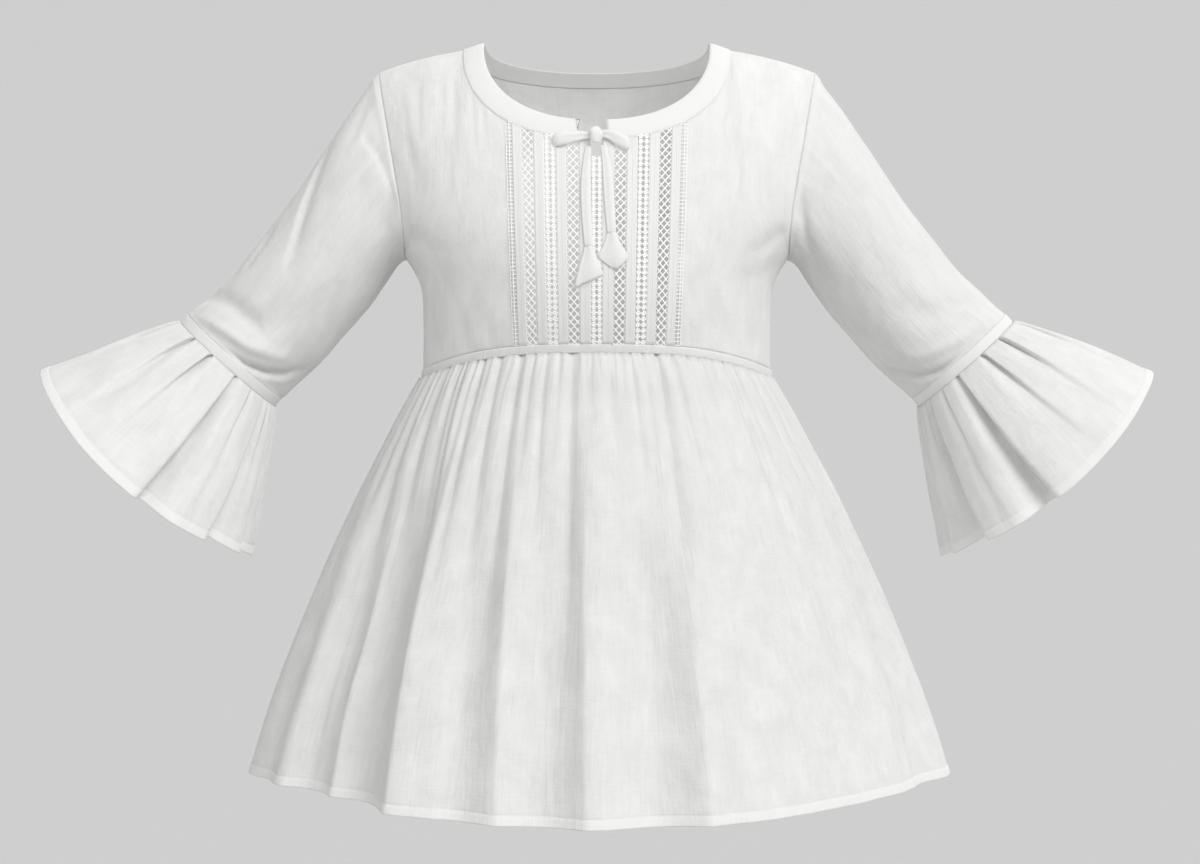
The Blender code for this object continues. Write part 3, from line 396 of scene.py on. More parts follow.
# A strip of the bib: its name, what it is made of and where its outer edge lies at mid height.
Strip = namedtuple("Strip", "name kind outer_edge")
CENTRE_STRIP_EDGE = 0.0056
BIB_SIDE_STRIPS = table(
    Strip,
    ("plain_strip_inner", "plain", 0.0148),
    ("net_strip_inner", "net", 0.0263),
    ("plain_strip_middle", "plain", 0.0346),
    ("crochet_strip", "crochet", 0.0457),
    ("plain_strip_outer", "plain", 0.0537),
    ("net_strip_outer", "net", 0.0645),
    ("plain_strip_edge", "plain", 0.0718),
    ("crochet_edging", "edging", 0.0776),
)

# A station of a flat length of cloth: x and z of its middle, its width, its thickness and its turn
# in degrees.
Station = namedtuple("Station", "x z width thickness turn", defaults=(0.0022, 0.0))
TAIL_LEFT = table(
    Station,
    (-0.0072, -0.0985, 0.0050),
    (-0.0084, -0.1100, 0.0066),
    (-0.0092, -0.1250, 0.0082),
    (-0.0094, -0.1400, 0.0088),
    (-0.0089, -0.1560, 0.0086),
    (-0.0080, -0.1720, 0.0080),
    (-0.0068, -0.1885, 0.0072, 0.0024),
)
TAIL_RIGHT = table(
    Station,
    (0.0062, -0.0975, 0.0052),
    (0.0082, -0.1090, 0.0068),
    (0.0096, -0.1210, 0.0082),
    (0.0106, -0.1350, 0.0088),
    (0.0114, -0.1490, 0.0088),
    (0.0124, -0.1630, 0.0082),
    (0.0134, -0.1765, 0.0076, 0.0024),
)
TASSEL_LEFT = table(
    Station,
    (-0.0067, -0.1878, 0.0072, 0.0024),
    (-0.0066, -0.1960, 0.0120, 0.0030, 4.0),
    (-0.0066, -0.2060, 0.0190, 0.0036, 12.0),
    (-0.0066, -0.2165, 0.0262, 0.0034, 22.0),
    (-0.0065, -0.2186, 0.0250, 0.0016, 23.0),
)
TASSEL_RIGHT = table(
    Station,
    (0.0134, -0.1758, 0.0076, 0.0024),
    (0.0138, -0.1830, 0.0125, 0.0030),
    (0.0142, -0.1900, 0.0195, 0.0036),
    (0.0145, -0.1970, 0.0262, 0.0034),
    (0.0155, -0.2030, 0.0165, 0.0026, -3.0),
    (0.0163, -0.2072, 0.0040, 0.0012, -3.0),
)

# A station of a bow loop: distance out from the knot, drop, height and thickness.
LoopStation = namedtuple("LoopStation", "out drop height thickness")
LOOP_LEFT = table(
    LoopStation,
    (0.0036, 0.0000, 0.0052, 0.0044),
    (0.0120, 0.0004, 0.0076, 0.0048),
    (0.0200, 0.0015, 0.0098, 0.0052),
    (0.0280, 0.0026, 0.0122, 0.0052),
    (0.0335, 0.0034, 0.0124, 0.0046),
    (0.0372, 0.0036, 0.0086, 0.0030),
    (0.0384, 0.0036, 0.0040, 0.0014),
)
LOOP_RIGHT = table(
    LoopStation,
    (0.0034, -0.0016, 0.0054, 0.0044),
    (0.0110, -0.0006, 0.0088, 0.0048),
    (0.0170, 0.0022, 0.0114, 0.0052),
    (0.0230, 0.0048, 0.0126, 0.0052),
    (0.0270, 0.0066, 0.0118, 0.0046),
    (0.0296, 0.0074, 0.0088, 0.0030),
    (0.0306, 0.0077, 0.0040, 0.0014),
)


# ---- curves through tables ----
def smooth(rows, key, value):
    """A smooth function that passes through one column of a table, against another column."""
    ordered = sorted(rows, key=lambda row: getattr(row, key))
    at = [getattr(row, key) for row in ordered]
    to = [getattr(row, value) for row in ordered]
    steps = [(b - a) / (q - p) for a, b, p, q in zip(to, to[1:], at, at[1:])]
    slopes = [steps[0]] + [(a + b) / 2 for a, b in zip(steps, steps[1:])] + [steps[-1]]

    def read(x):
        x = min(max(x, at[0]), at[-1])
        i = min(bisect.bisect_right(at, x), len(at) - 1) - 1
        span = at[i + 1] - at[i]
        t = (x - at[i]) / span
        rise = to[i + 1] - to[i]
        from_start = t * (1 - t) ** 2 * slopes[i] * span
        from_end = t * t * (t - 1) * slopes[i + 1] * span
        return to[i] + rise * t * t * (3 - 2 * t) + from_start + from_end

    return read


def mix(a, b, t):
    return a + (b - a) * t


def fade(x, start, end):
    t = min(max((x - start) / (end - start), 0.0), 1.0)
    return t * t * (3 - 2 * t)


def shares(count):
    """Even shares from 0 to 1."""
    return [step / count for step in range(count + 1)]


def shares_to_hem(count, band_share, band_rows):
    """Shares from 0 to 1 that lie closer together over a hem band at the end."""
    upper = [mix(0.0, 1.0 - 1.3 * band_share, share) for share in shares(count)]
    lower = [mix(1.0 - 1.3 * band_share, 1.0, share) for share in shares(band_rows)]
    return upper[:-1] + lower


def finer(stations, count):
    """The same stations along smooth curves, count of them."""
    kind = type(stations[0])
    Place = namedtuple("Place", ("number",) + kind._fields)
    placed = [Place(number, *station) for number, station in enumerate(stations)]
    curves = [smooth(placed, "number", field) for field in kind._fields]
    last = len(stations) - 1
    return [kind(*(curve(last * share) for curve in curves)) for share in shares(count)]


torso_half_width = smooth(TORSO, "z", "half_width")
torso_front = smooth(TORSO, "z", "front")
torso_back = smooth(TORSO, "z", "back")
armhole_x = smooth(ARMHOLE, "z", "x")
skirt_half_width = smooth(SKIRT, "side_z", "half_width")
skirt_front = smooth(SKIRT, "side_z", "front")
skirt_back = smooth(SKIRT, "side_z", "back")
sleeve_curves = [smooth(SLEEVE, "ring", field) for field in SleeveRow._fields[1:]]


def scaled(creases, across, along):
    """Creases whose paths are given in other units than metres, in metres."""
    found = []
    for crease in creases:
        path = tuple((u * across, v * along, strength) for u, v, strength in crease.path)
        found.append(crease._replace(path=path))
    return tuple(found)


def crease_depth(creases, u, v):
    """How far the creases draw the cloth in at a place on a panel."""
    depth = 0.0
    for crease in creases:
        nearest = None
        for (u0, v0, s0), (u1, v1, s1) in zip(crease.path, crease.path[1:]):
            du, dv = u1 - u0, v1 - v0
            length = math.hypot(du, dv)
            t = min(max(((u - u0) * du + (v - v0) * dv) / (length * length), 0.0), 1.0)
            away = math.hypot(u - u0 - du * t, v - v0 - dv * t)
            if nearest is None or away < nearest[0]:
                side = math.copysign(1.0, (u - u0) * dv - (v - v0) * du)
                nearest = (away, mix(s0, s1, t), side)
        away, strength, side = nearest
        off = away / (crease.half_width * (1 + crease.lean * side))
        if off < 3.0:
            depth += crease.depth * strength * math.exp(-off * off)
    return depth


# ---- the body of the garment: one smooth surface that the bodice pieces are cut from ----
def ridge_z(x):
    """Height of the shoulder line at a distance from the middle."""
    x = abs(x)
    if x < NECK_HALF_WIDTH:
        return RIDGE_RISE * (1 - (x / NECK_HALF_WIDTH) ** 2)
    t = (x - NECK_HALF_WIDTH) / (SHOULDER_TIP_X - NECK_HALF_WIDTH)
    return SHOULDER_TIP_Z * mix(t ** SHOULDER_FALL_POWER, t, SHOULDER_STRAIGHT_SHARE)


def bodice_point(x, z, front, raised=0.0):
    """The point of the bodice surface at x and z, on its front or its back."""
    across = min(abs(x) / torso_half_width(z), 1.0)
    depth = torso_front(z) if front else torso_back(z)
    rounding = FRONT_ROUNDING if front else BACK_ROUNDING
    below = min(max((ridge_z(x) - z) / rounding, 0.0), 1.0)
    crown = math.sqrt(1 - (1 - below) ** 2)
    y = depth * math.sqrt(1 - across * across) ** CHEST_SQUARENESS * crown + raised
    return Vector((x, -y if front else y, z))


def turned_point(turn, z, front, raised=0.0):
    """The same point, from its turn about the body's axis in radians."""
    point = bodice_point(torso_half_width(z) * math.sin(turn), z, front, raised)
    point.x += raised * math.sin(turn)
    return point


def bodice_out(x, z):
    """The outward direction of the front of the bodice at x and z."""
    step = 0.002
    here = bodice_point(x, z, True)
    right = bodice_point(x + step, z, True) - here
    up = bodice_point(x, z + step, True) - here
    return right.cross(up).normalized()


def turn_of(x, z):
    return math.asin(max(-1.0, min(1.0, x / torso_half_width(z))))


def neck_z(x, front):
    drop = FRONT_NECK_DROP if front else BACK_NECK_DROP
    inside = max(0.0, 1 - (abs(x) / NECK_HALF_WIDTH) ** NECK_CURVE)
    return -drop * inside ** (1 / NECK_CURVE)


def neck_angle(x):
    """The angle round the neckline at a distance from its middle, in radians."""
    return math.asin((abs(x) / NECK_HALF_WIDTH) ** (NECK_CURVE / 2))


def neck_place(angle, front):
    """x and z of the neckline at an angle from its middle, in radians."""
    drop = FRONT_NECK_DROP if front else BACK_NECK_DROP
    x = NECK_HALF_WIDTH * max(0.0, math.sin(angle)) ** (2 / NECK_CURVE)
    return x, -drop * max(0.0, math.cos(angle)) ** (2 / NECK_CURVE)


def waist_z(turn, front):
    """Height of the top of the waist band."""
    side = WAIST_CENTRE_Z - WAIST_SIDE_DROP
    centre = WAIST_CENTRE_Z if front else BACK_WAIST_CENTRE_Z
    return centre + (side - centre) * abs(math.sin(turn)) ** WAIST_ARCH_POWER


def bib_edge_x(edge, z):
    """A strip's edge at a height: the bib narrows a little from the neck to the waist."""
    t = (z - WAIST_CENTRE_Z) / (-FRONT_NECK_DROP - WAIST_CENTRE_Z)
    return edge * mix(BIB_BOTTOM_SCALE, BIB_TOP_SCALE, t)


GAUZE_EDGE = BIB_SIDE_STRIPS[-2].outer_edge
SEAM_TRIES = 6


def bib_top(edge):
    """x and z where a strip's edge meets the neck seam."""
    x = bib_edge_x(edge, -FRONT_NECK_DROP)
    for _ in range(SEAM_TRIES):
        x = bib_edge_x(edge, neck_z(x, True))
    return x, neck_z(x, True)


def bib_bottom_z(edge):
    x = bib_edge_x(edge, WAIST_CENTRE_Z)
    return waist_z(turn_of(x, WAIST_CENTRE_Z), True)


def body_axis(point):
    return Vector((0.0, 0.0, min(point.z, BODY_AXIS_TOP_Z)))


def nearest_on(start, along):
    """A function that gives the point of a line that lies nearest to a point."""

    def axis(point):
        return start + along * (point - start).dot(along)

    return axis


# ---- node trees ----
class Graph:
    """A node tree that is being filled."""

    def __init__(self, tree):
        self.tree = tree

    def add(self, kind, settings=None, inputs=None):
        """Adds a node: its settings come first, then the values or links of its sockets."""
        node = self.tree.nodes.new(kind)
        for name, value in (settings or {}).items():
            setattr(node, name, value)
        for name, value in (inputs or {}).items():
            self.join(value, node.inputs[name])
        return node

    def first(self, kind, inputs=None, settings=None):
        """Adds a node and gives its first output."""
        return self.add(kind, settings, inputs).outputs[0]

    def join(self, value, socket):
        if isinstance(value, Amount):
            value = value.socket
        if isinstance(value, bpy.types.NodeSocket):
            self.tree.links.new(value, socket)
        else:
            socket.default_value = value

    def noise(self, place, scale, detail=3.0, roughness=0.5, distortion=0.0):
        stretched = self.first("ShaderNodeMapping", {"Vector": place, "Scale": scale})
        inputs = {"Scale": 1.0, "Detail": detail, "Roughness": roughness, "Distortion": distortion}
        inputs["Vector"] = stretched
        return Amount(self, self.add("ShaderNodeTexNoise", None, inputs).outputs["Fac"])

    def bump(self, height, shader):
        """Lets a height in metres lift a shader's surface."""
        made = {"Strength": 1.0, "Distance": 1.0, "Height": height}
        self.join(self.first("ShaderNodeBump", made), shader.inputs["Normal"])

    def wave(self, place, scale, direction):
        settings = {"wave_type": "BANDS", "bands_direction": direction, "wave_profile": "SIN"}
        made = self.add("ShaderNodeTexWave", settings, {"Vector": place, "Scale": scale})
        return Amount(self, made.outputs["Fac"])


class Amount:
    """A number that varies over a surface. Arithmetic on it adds Math nodes."""

    def __init__(self, graph, socket):
        self.graph = graph
        self.socket = socket

    def math(self, operation, first, second):
        node = self.graph.add("ShaderNodeMath", {"operation": operation}, {0: first, 1: second})
        return Amount(self.graph, node.outputs[0])

    def __add__(self, other):
        return self.math("ADD", self, other)

    __radd__ = __add__

    def __sub__(self, other):
        return self.math("SUBTRACT", self, other)

    def __rsub__(self, other):
        return self.math("SUBTRACT", other, self)

    def __mul__(self, other):
        return self.math("MULTIPLY", self, other)

    __rmul__ = __mul__

    def within(self, low, high):
        """The share of the way from low to high, kept between 0 and 1."""
        node = self.graph.add(
            "ShaderNodeMapRange",
            {"clamp": True},
            {"Value": self, "From Min": low, "From Max": high},
        )
        return Amount(self.graph, node.outputs["Result"])


def new_tree(name, sizes):
    """A geometry node tree with named number inputs, and its group input node."""
    tree = bpy.data.node_groups.new(name, "GeometryNodeTree")
    tree.interface.new_socket("Geometry", in_out="INPUT", socket_type="NodeSocketGeometry")
    for label, value in sizes.items():
        kind = "NodeSocketInt" if isinstance(value, int) else "NodeSocketFloat"
        tree.interface.new_socket(label, in_out="INPUT", socket_type=kind).default_value = value
    tree.interface.new_socket("Material", in_out="INPUT", socket_type="NodeSocketMaterial")
    tree.interface.new_socket("Geometry", in_out="OUTPUT", socket_type="NodeSocketGeometry")
    graph = Graph(tree)
    return graph, graph.add("NodeGroupInput").outputs


def end_tree(graph, geometry, material):
    """Realises the instances, shades them smooth, sets the material and joins the output."""
    real = graph.first("GeometryNodeRealizeInstances", {"Geometry": geometry})
    even = graph.first("GeometryNodeSetShadeSmooth", {"Geometry": real})
    last = graph.first("GeometryNodeSetMaterial", {"Geometry": even, "Material": material})
    graph.add("NodeGroupOutput", None, {"Geometry": last})
    return graph.tree


def thread_on_edges(graph, mesh, radius, sides):
    """A round thread along each edge of a mesh."""
    paths = graph.first("GeometryNodeMeshToCurve", {"Mesh": mesh})
    ring = graph.first("GeometryNodeCurvePrimitiveCircle", {"Resolution": sides, "Radius": radius})
    threads = {"Curve": paths, "Profile Curve": ring, "Fill Caps": True}
    return graph.first("GeometryNodeCurveToMesh", threads)


def oval(graph, size, segments, rings):
    """A ball of diameter 1 that is scaled to a size of (length, width, height)."""
    ball = graph.first("GeometryNodeMeshUVSphere", {"Segments": segments, "Rings": rings, "Radius": 0.5})
    scale = graph.first("ShaderNodeCombineXYZ", dict(zip("XYZ", size)))
    return graph.first("GeometryNodeTransform", {"Geometry": ball, "Scale": scale})


def turned(graph, direction, axis):
    """The rotation that turns an axis to a direction."""
    return graph.first("FunctionNodeAlignRotationToVector", {"Vector": direction}, {"axis": axis})


def times(graph, first, second):
    return graph.first("ShaderNodeMath", {0: first, 1: second}, {"operation": "MULTIPLY"})


def joined(graph, *parts):
    both = graph.add("GeometryNodeJoinGeometry")
    for part in parts:
        graph.join(part, both.inputs[0])
    return both.outputs[0]


def stitch_tree():
    """Running stitches along the edges of a mesh."""
    graph, given = new_tree("stitch_thread", {"Pitch": 0.003, "Length": 0.0022, "Thread": 0.00024})
    path = graph.first("GeometryNodeMeshToCurve", {"Mesh": given["Geometry"]})
    spacing = {"Curve": path, "Length": given["Pitch"]}
    even = graph.first("GeometryNodeResampleCurve", spacing, {"mode": "LENGTH"})
    thick = times(graph, given["Thread"], 2.0)
    stitch = oval(graph, (given["Length"], thick, thick), 6, 4)
    along = turned(graph, graph.first("GeometryNodeInputTangent"), "X")
    copies = {"Points": even, "Instance": stitch, "Rotation": along}
    placed = graph.first("GeometryNodeInstanceOnPoints", copies)
    return end_tree(graph, placed, given["Material"])


def net_tree():
    """Round cords along the edges of a mesh, with a small knot at each crossing."""
    graph, given = new_tree("net_thread", {"Cord": 0.0005, "Knot": 0.0007})
    cords = thread_on_edges(graph, given["Geometry"], given["Cord"], 6)
    ball = graph.first("GeometryNodeMeshIcoSphere", {"Radius": given["Knot"], "Subdivisions": 2})
    knots = graph.first("GeometryNodeInstanceOnPoints", {"Points": given["Geometry"], "Instance": ball})
    return end_tree(graph, joined(graph, cords, knots), given["Material"])


PETAL_FLATNESS = 0.8


def crochet_tree():
    """Crochet: a flower of petals round an eyelet at each marked point, on a ground of chains."""
    sizes = {"Chain": 0.00042, "Petals": 6, "Ring": 0.0015, "Petal length": 0.0022}
    sizes.update({"Petal width": 0.0015, "Slant": 0.0})
    graph, given = new_tree("crochet_thread", sizes)
    chains = thread_on_edges(graph, given["Geometry"], given["Chain"], 5)
    circle = graph.first("GeometryNodeMeshCircle", {"Vertices": given["Petals"], "Radius": given["Ring"]})
    high = times(graph, given["Petal width"], PETAL_FLATNESS)
    petal = oval(graph, (given["Petal length"], given["Petal width"], high), 8, 6)
    radial = turned(graph, graph.first("GeometryNodeInputPosition"), "X")
    petals = {"Points": circle, "Instance": petal, "Rotation": radial}
    flower = graph.first("GeometryNodeInstanceOnPoints", petals)
    slant = graph.first("ShaderNodeCombineXYZ", {"Z": given["Slant"]})
    leant = graph.first("GeometryNodeTransform", {"Geometry": flower, "Rotation": slant})
    whole = graph.first("GeometryNodeRealizeInstances", {"Geometry": leant})
    outward = graph.first("GeometryNodeInputNamedAttribute", {"Name": "out"}, {"data_type": "FLOAT_VECTOR"})
    marked = graph.first("GeometryNodeInputNamedAttribute", {"Name": "flower"}, {"data_type": "BOOLEAN"})
    copies = {"Points": given["Geometry"], "Selection": marked, "Instance": whole}
    copies["Rotation"] = turned(graph, outward, "Z")
    flowers = graph.first("GeometryNodeInstanceOnPoints", copies)
    return end_tree(graph, joined(graph, chains, flowers), given["Material"])


def run_tree(obj, tree, values):
    """Leaves what a node tree makes of an object as its plain mesh."""
    modifier = obj.modifiers.new("nodes", "NODES")
    modifier.node_group = tree
    for item in tree.interface.items_tree:
        if item.name in values:
            modifier[item.identifier] = values[item.name]
    depsgraph = bpy.context.evaluated_depsgraph_get()
    made = bpy.data.meshes.new_from_object(obj.evaluated_get(depsgraph), depsgraph=depsgraph)
    obj.modifiers.remove(modifier)
    before = obj.data
    obj.data = made
    made.name = obj.name
    bpy.data.meshes.remove(before)


# ---- finishes ----
MATT_COTTON = {"Roughness": 0.9, "Specular IOR Level": 0.25, "Sheen Roughness": 0.55}
GAUZE_SHEEN = 0.25
THREAD_SHEEN = 0.15


def new_finish(name, inputs):
    """A new material, its graph, and its Principled shader with some of its inputs set."""
    material = bpy.data.materials.new(name)
    material.use_nodes = True
    shader = material.node_tree.nodes["Principled BSDF"]
    for label, value in inputs.items():
        shader.inputs[label].default_value = value
    return material, Graph(material.node_tree), shader


def blend_colours(graph, share, first, second):
    node = graph.add("ShaderNodeMix", {"data_type": "RGBA"}, {0: share, 6: first, 7: second})
    return node.outputs[2]


def tinted(colour, brightness):
    """A colour with its brightness changed, and opaque."""
    return tuple(min(1.0, channel * brightness) for channel in colour[:3]) + (1.0,)


# How the gauze looks on each kind of piece: its brightness, and how crinkled and cloudy it is.
# The brightness is painted shade on one cloth: the skirt's gauze is painted darker than the bodice's, for
# light that falls off down the garment.
Surface = namedtuple("Surface", "white crinkle clouds")
SURFACES = {
    "gauze": Surface(0.955, 1.0, 1.0),
    "sleeve_gauze": Surface(0.97, 0.45, 1.1),
    "smooth_gauze": Surface(1.01, 0.4, 0.9),
    "band_gauze": Surface(0.98, 0.35, 0.35),
    "tie_gauze": Surface(1.0, 0.5, 0.5),
}
# Patterns of the gauze, as their scale across, along and through the flat cloth.
FINE_CRINKLES = (420.0, 26.0, 1.0)
COARSE_CRINKLES = (130.0, 12.0, 1.0)
CLOUDS = (42.0, 30.0, 1.0)
SLUBS = (60.0, 520.0, 1.0)
# Their heights, in heights of the finest crinkle.
COARSE_HEIGHT = 2.0
SLUB_HEIGHT = 0.35
CLOUD_HEIGHT = 2.4
WEAVE_HEIGHT = 0.05
# The wave texture goes through 20 radians a metre at a scale of 1.
WAVE_SCALE = math.tau / 20


def gauze_finish(name, look, surface):
    """Crinkled cotton gauze: a plain weave, fine lengthwise crinkles, cloudy slubs, lit through."""
    material, graph, shader = new_finish(name, {**MATT_COTTON, "Sheen Weight": GAUZE_SHEEN})
    cloth = graph.first("ShaderNodeUVMap", None, {"uv_map": "cloth"})
    fine = graph.noise(cloth, FINE_CRINKLES, detail=4.0, roughness=0.55, distortion=0.5)
    coarse = graph.noise(cloth, COARSE_CRINKLES, distortion=0.8)
    cloud = graph.noise(cloth, CLOUDS, detail=5.0, roughness=0.62, distortion=0.6)
    slub = graph.noise(cloth, SLUBS, detail=2.0)
    warp = graph.wave(cloth, WAVE_SCALE / look.weave_pitch, "X")
    weft = graph.wave(cloth, WAVE_SCALE / look.weave_pitch, "Y")
    layers = Amount(graph, graph.add("ShaderNodeAttribute", {"attribute_name": "layers"}).outputs["Fac"])
    crinkle = look.crinkle_height * surface.crinkle
    height = fine * crinkle + coarse * (crinkle * COARSE_HEIGHT) + slub * (crinkle * SLUB_HEIGHT)
    height = height + cloud * (look.crinkle_height * surface.clouds * CLOUD_HEIGHT)
    graph.bump(height + (warp + weft) * (look.crinkle_height * WEAVE_HEIGHT), shader)
    # The kind's brightness is painted shade: darkest on the skirt, brightest on the bodice.
    thin = tinted(look.colour, surface.white)
    thin_and_shaded = tinted(thin, look.thin_share)
    opaque = tinted(thin, look.double_share)
    # The colour is darker in the low places of the crinkles and clouds: painted shade, mixed with uneven
    # thin places of the weave.
    patches = (cloud * 0.5 + fine * 0.3 + slub * 0.2).within(0.38, 0.62)
    mottled = blend_colours(graph, patches, thin_and_shaded, thin)
    graph.join(blend_colours(graph, layers, mottled, opaque), shader.inputs["Base Color"])
    through = graph.first("ShaderNodeBsdfTranslucent", {"Color": opaque})
    shaders = {0: look.see_through, 1: shader.outputs[0], 2: through}
    both = graph.first("ShaderNodeMixShader", shaders)
    graph.join(both, material.node_tree.nodes["Material Output"].inputs["Surface"])
    return material


THREAD_TWIST = 1400.0
PLY_HEIGHT = 0.00012
PLY_SHADE = 0.90


def thread_finish(name, colour):
    """Twisted cotton thread, for lace and stitches."""
    material, graph, shader = new_finish(name, {**MATT_COTTON, "Sheen Weight": THREAD_SHEEN})
    place = graph.add("ShaderNodeTexCoord").outputs["Object"]
    plies = graph.noise(place, (THREAD_TWIST, THREAD_TWIST, THREAD_TWIST * 0.6), detail=2.0)
    graph.bump(plies * PLY_HEIGHT, shader)
    # The grooves between the plies are painted darker, as shade, by the same noise that sinks them.
    shaded = blend_colours(graph, plies.within(0.35, 0.65), tinted(colour, PLY_SHADE), tinted(colour, 1.0))
    graph.join(shaded, shader.inputs["Base Color"])
    return material


def finish(kind):
    """The material of one kind, made the first time it is asked for."""
    found = bpy.data.materials.get(kind)
    if found:
        return found
    look = bpy.context.scene.peplum_cloth
    if kind in SURFACES:
        return gauze_finish(kind, look, SURFACES[kind])
    return thread_finish(kind, look.thread_colour)


def new_object(name, data):
    """A new object that is in the scene."""
    obj = bpy.data.objects.new(name, data)
    bpy.context.scene.collection.objects.link(obj)
    return obj


def smooth_mesh(name, bm):
    """A smooth-shaded mesh of what a bmesh holds."""
    mesh = bpy.data.meshes.new(name)
    bm.to_mesh(mesh)
    bm.free()
    mesh.polygons.foreach_set("use_smooth", [True] * len(mesh.polygons))
    return mesh


def add_piece(name, bm, kind):
    """An object of the top, with the finish of its kind."""
    mesh = smooth_mesh(name, bm)
    mesh.materials.append(finish(kind))
    return new_object(name, mesh)


def settle(obj, kind, *nodes):
    """Hangs a finished piece on the body's empty and hides the packed parts that it stands for."""
    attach(obj, BODY)
    if nodes:
        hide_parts(*nodes)


TREES = {"stitch_thread": stitch_tree, "net_thread": net_tree, "crochet_thread": crochet_tree}


def grow_piece(name, bm, kind, values, *nodes):
    """A piece that its kind's node tree makes from the lines and points of a bmesh."""
    obj = add_piece(name, bm, kind)
    tree = bpy.data.node_groups.get(kind) or TREES[kind]()
    run_tree(obj, tree, {**values, "Material": finish(kind)})
    settle(obj, kind, *nodes)


def run_lengths(points):
    """How far along a path each of its points lies."""
    lengths = [0.0]
    for first, second in zip(points, points[1:]):
        lengths.append(lengths[-1] + (second - first).length)
    return lengths


def middle_lengths(rows):
    """How far down a panel each of its rows lies, along its middle."""
    middle = len(rows[0]) // 2
    return run_lengths([row[middle][0] for row in rows])


def row_length(row, closed=False):
    points = [point for point, _ in row]
    return run_lengths(points + points[:1] if closed else points)[-1]


def cloth_mesh():
    """An empty bmesh with the cloth's UV map and, for each point, its layers."""
    bm = bmesh.new()
    return bm, bm.loops.layers.uv.new("cloth"), bm.verts.layers.float.new("layers")


def cloth_panel(name, node, rows, inside, kind="gauze", closed=False):
    """A thin shell of cloth through rows of (point, layers), from its top to its bottom.

    Layers is 0 where the cloth is single and 1 where it is folded double, as in a hem. The cloth's
    UV map is in metres of the flat cut: its width is that of the widest row.
    """
    look = bpy.context.scene.peplum_cloth
    bm, flat, layers = cloth_mesh()
    weights = bm.verts.layers.deform.verify()
    width = max(row_length(row, closed) for row in rows)
    lengths = middle_lengths(rows)
    made = []
    for row in rows:
        line = []
        for point, doubled in row:
            vert = bm.verts.new(point)
            vert[layers] = doubled
            vert[weights][0] = mix(0.5, 1.0, doubled)
            line.append(vert)
        made.append(line)
    count = len(rows[0]) if closed else len(rows[0]) - 1
    for number, (upper, lower) in enumerate(zip(made, made[1:])):
        for i in range(count):
            j = (i + 1) % len(upper)
            face = bm.faces.new((upper[i], upper[j], lower[j], lower[i]))
            corners = ((i, number), (i + 1, number), (i + 1, number + 1), (i, number + 1))
            for loop, (across, down) in zip(face.loops, corners):
                loop[flat].uv = (width * across / count, -lengths[down])
    bm.normal_update()
    outward = sum(
        face.normal.dot(face.calc_center_median() - inside(face.calc_center_median()))
        for face in bm.faces
    )
    if outward < 0:
        bmesh.ops.reverse_faces(bm, faces=bm.faces[:])
    obj = add_piece(name, bm, kind)
    obj.vertex_groups.new(name="layers_weight")
    shell = obj.modifiers.new("cloth", "SOLIDIFY")
    shell.thickness = 2 * look.layer
    shell.offset = -1.0
    shell.use_even_offset = False
    shell.vertex_group = "layers_weight"
    settle(obj, kind, node)
    return obj, (width, lengths[-1])


def flat_width(outer, inner, width):
    """A band's width laid flat: what shows, over its folds, and the edges that it turns under."""
    around = (inner[-1],) + tuple(outer) + (inner[0],)
    places = [(share * width, height) for share, height in around]
    return sum(math.dist(first, second) for first, second in zip(places, places[1:]))


def tube(name, node, rings, kind, girth, run, doubled, closed=False):
    """Cloth round rings of points. Girth is how far round it is, and run how far along they lie."""
    bm, flat, layers = cloth_mesh()
    made = [[bm.verts.new(point) for point in ring] for ring in rings]
    for vert in bm.verts:
        vert[layers] = doubled
    sides = len(rings[0])
    for i in range(len(made) if closed else len(made) - 1):
        first, second = made[i], made[(i + 1) % len(made)]
        for k in range(sides):
            m = (k + 1) % sides
            face = bm.faces.new((first[k], first[m], second[m], second[k]))
            corners = ((k, i), (k + 1, i), (k + 1, i + 1), (k, i + 1))
            for loop, (turn, along) in zip(face.loops, corners):
                loop[flat].uv = (girth * turn / sides, run[along])
    if not closed:
        bm.faces.new(list(reversed(made[0])))
        bm.faces.new(made[-1])
    bmesh.ops.recalc_face_normals(bm, faces=bm.faces[:])
    obj = add_piece(name, bm, kind)
    settle(obj, kind, node)
    return obj


def swept_band(name, node, stations, outer, inner, closed=False):
    """A band of folded cloth: a closed profile of (share across, height) swept along stations.

    A station is its lower edge, its upper edge and its outward direction. The profile runs over
    the side that shows, outer, and back along the other, inner.
    """
    rings = []
    for lower, upper, out in stations:
        rings.append([lower.lerp(upper, share) + out * height for share, height in (*outer, *inner)])
    middles = [lower.lerp(upper, 0.5) for lower, upper, _ in stations]
    run = run_lengths(middles + middles[:1] if closed else middles)
    lower, upper, _ = stations[len(stations) // 2]
    width = (upper - lower).length
    obj = tube(name, node, rings, "band_gauze", 2 * width, run, 1.0, closed)
    return obj, (run[-1], flat_width(outer, inner, width))


def band_profile(proud, thickness, roundness=0.12):
    """A softly rounded flat band: its outer face, then back along its inner face."""
    outer = [(0.0, -thickness * 0.4), (roundness * 0.3, proud * 0.45), (roundness, proud * 0.85)]
    outer += [(0.35, proud), (0.65, proud), (1 - roundness, proud * 0.85)]
    outer += [(1 - roundness * 0.3, proud * 0.45), (1.0, -thickness * 0.4)]
    inner = [(1 - roundness * 0.5, proud - thickness), (0.5, proud - thickness)]
    return outer, inner + [(roundness * 0.5, proud - thickness)]


def stitches(name, lines, closed=False):
    """Running stitches along lines of points, as one piece."""
    sizes = bpy.context.scene.peplum_sewing
    bm = bmesh.new()
    for line in lines:
        verts = [bm.verts.new(point) for point in line]
        for first, second in zip(verts, verts[1:]):
            bm.edges.new((first, second))
        if closed:
            bm.edges.new((verts[-1], verts[0]))
    values = {"Pitch": sizes.pitch, "Length": sizes.length, "Thread": sizes.thread}
    grow_piece(name, bm, "stitch_thread", values)


BAND_STITCH_SEAT = 0.92


